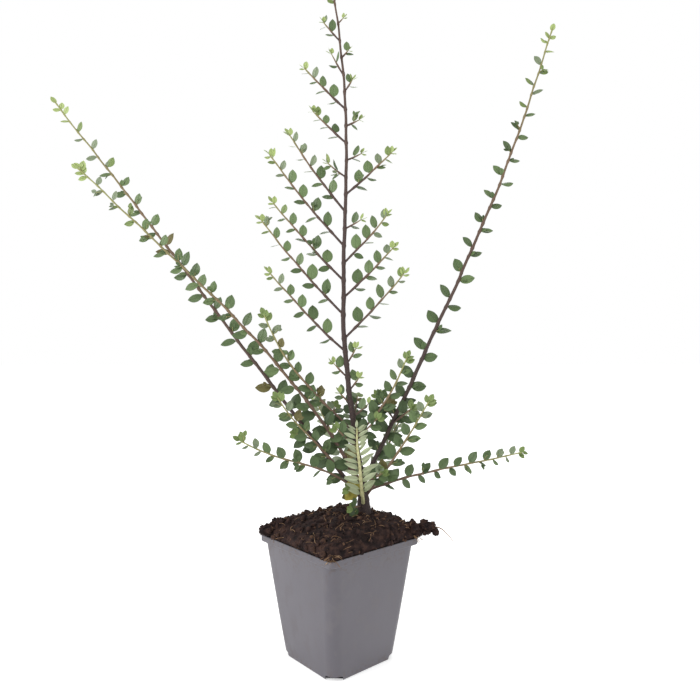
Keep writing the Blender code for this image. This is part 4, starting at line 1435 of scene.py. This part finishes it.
def main():
    place_camera()
    light_studio()
    lay_floor()
    grain = grain_group()
    aged = bark_group(grain)
    relief = leaf_group()
    make_pot(pot_material(grain))
    peat_dark = mottled_material("peat_dark", grain, 210.0, PEAT_DARK_TONES, 0.95, 0.0006)
    peat_light = mottled_material("peat_light", grain, 260.0, PEAT_LIGHT_TONES, 0.92, 0.0004)
    straw = mottled_material("root_straw", grain, 300.0, STRAW_TONES, 0.80, 0.0001)
    heap = make_peat(peat_dark)
    make_crumbs(heap, [peat_dark, peat_light])
    make_fibres(heap, straw)

    ends = {
        RIGHT: leafy_end("leafy_stem_right", RIGHT, RIGHT_LEAFY_FROM, 0.0265, 0.0130, 0.6),
        LEFT_OUTER: leafy_end("leafy_stem_left_outer", LEFT_OUTER, LEFT_OUTER_LEAFY_FROM,
                              0.0265, 0.0135, 0.6),
        LEFT_INNER: leafy_end("leafy_stem_left_inner", LEFT_INNER, LEFT_INNER_LEAFY_FROM,
                              0.0210, 0.0125, 0.6),
        CENTRAL: leafy_end("leafy_tip_central", CENTRAL, CENTRAL_LEAFY_FROM, 0.0110, 0.0120, 0.0),
    }
    make_bark(bark_material("bark_old", aged, 0.55, 1.0, 0.00035), ends)

    sides = side_shoots()
    left_sides = [shoot for shoot in sides if "left" in shoot.name]
    right_sides = [shoot for shoot in sides if "right" in shoot.name]
    # Shoots, youth, ages of the wood from foot to tip, and the chance of a finer twig at a leaf
    families = (
        ("long_stems", list(ends.values()), 0.40, (0.3, 0.9), 0.35),
        ("side_shoots_left", left_sides, 0.52, (0.26, 0.86), 0.10),
        ("side_shoots_right", right_sides, 0.52, (0.26, 0.86), 0.10),
        ("low_shoots", low_shoots(), 0.32, (0.45, 0.92), 0.30),
        ("spurs", spurs(), 0.14, (0.30, 0.75), 0.30),
    )
    twig_bark = bark_material("bark_young", aged, 0.35, 0.4, 0.00015)
    pale_bark = mottled_material("bark_pale", grain, 240.0, PALE_BARK_TONES, 0.7, 0.0001)
    blades = [leaf_material(name, colour, relief, -1.0 if name.startswith("leaf") else 1.0)
              for name, colour in TINTS.items()]
    masters = make_leaf_masters(LEAF_SLIMNESS)
    slim_masters = make_leaf_masters(SILVER_SLIMNESS)
    petiole = petiole_master()
    for family, shoots, youth, wood_ages, twiglet_chance in families:
        foliage = Foliage(masters, slim_masters, petiole)
        own_twig = family != "long_stems"
        for shoot in shoots:
            grow(foliage, shoot, youth, wood_ages, own_twig, twiglet_chance)
            if not own_twig and shoot.limb != CENTRAL:
                foot = shoot._replace(name=shoot.name + "_foot", start=FOOT_LEAVES_FROM, pitch=FOOT_PITCH)
                grow(foliage, foot, FOOT_YOUTH, wood_ages, False, twiglet_chance, end=shoot.start)
        names = [shoot.name for shoot in shoots]
        foliage.twigs.piece("twigs_" + family, [twig_bark, pale_bark], "foliage", names)
        foliage.leaves.piece("leaves_" + family, blades, "foliage", names, sharp=LEAF_SHARP_ANGLE)


main()
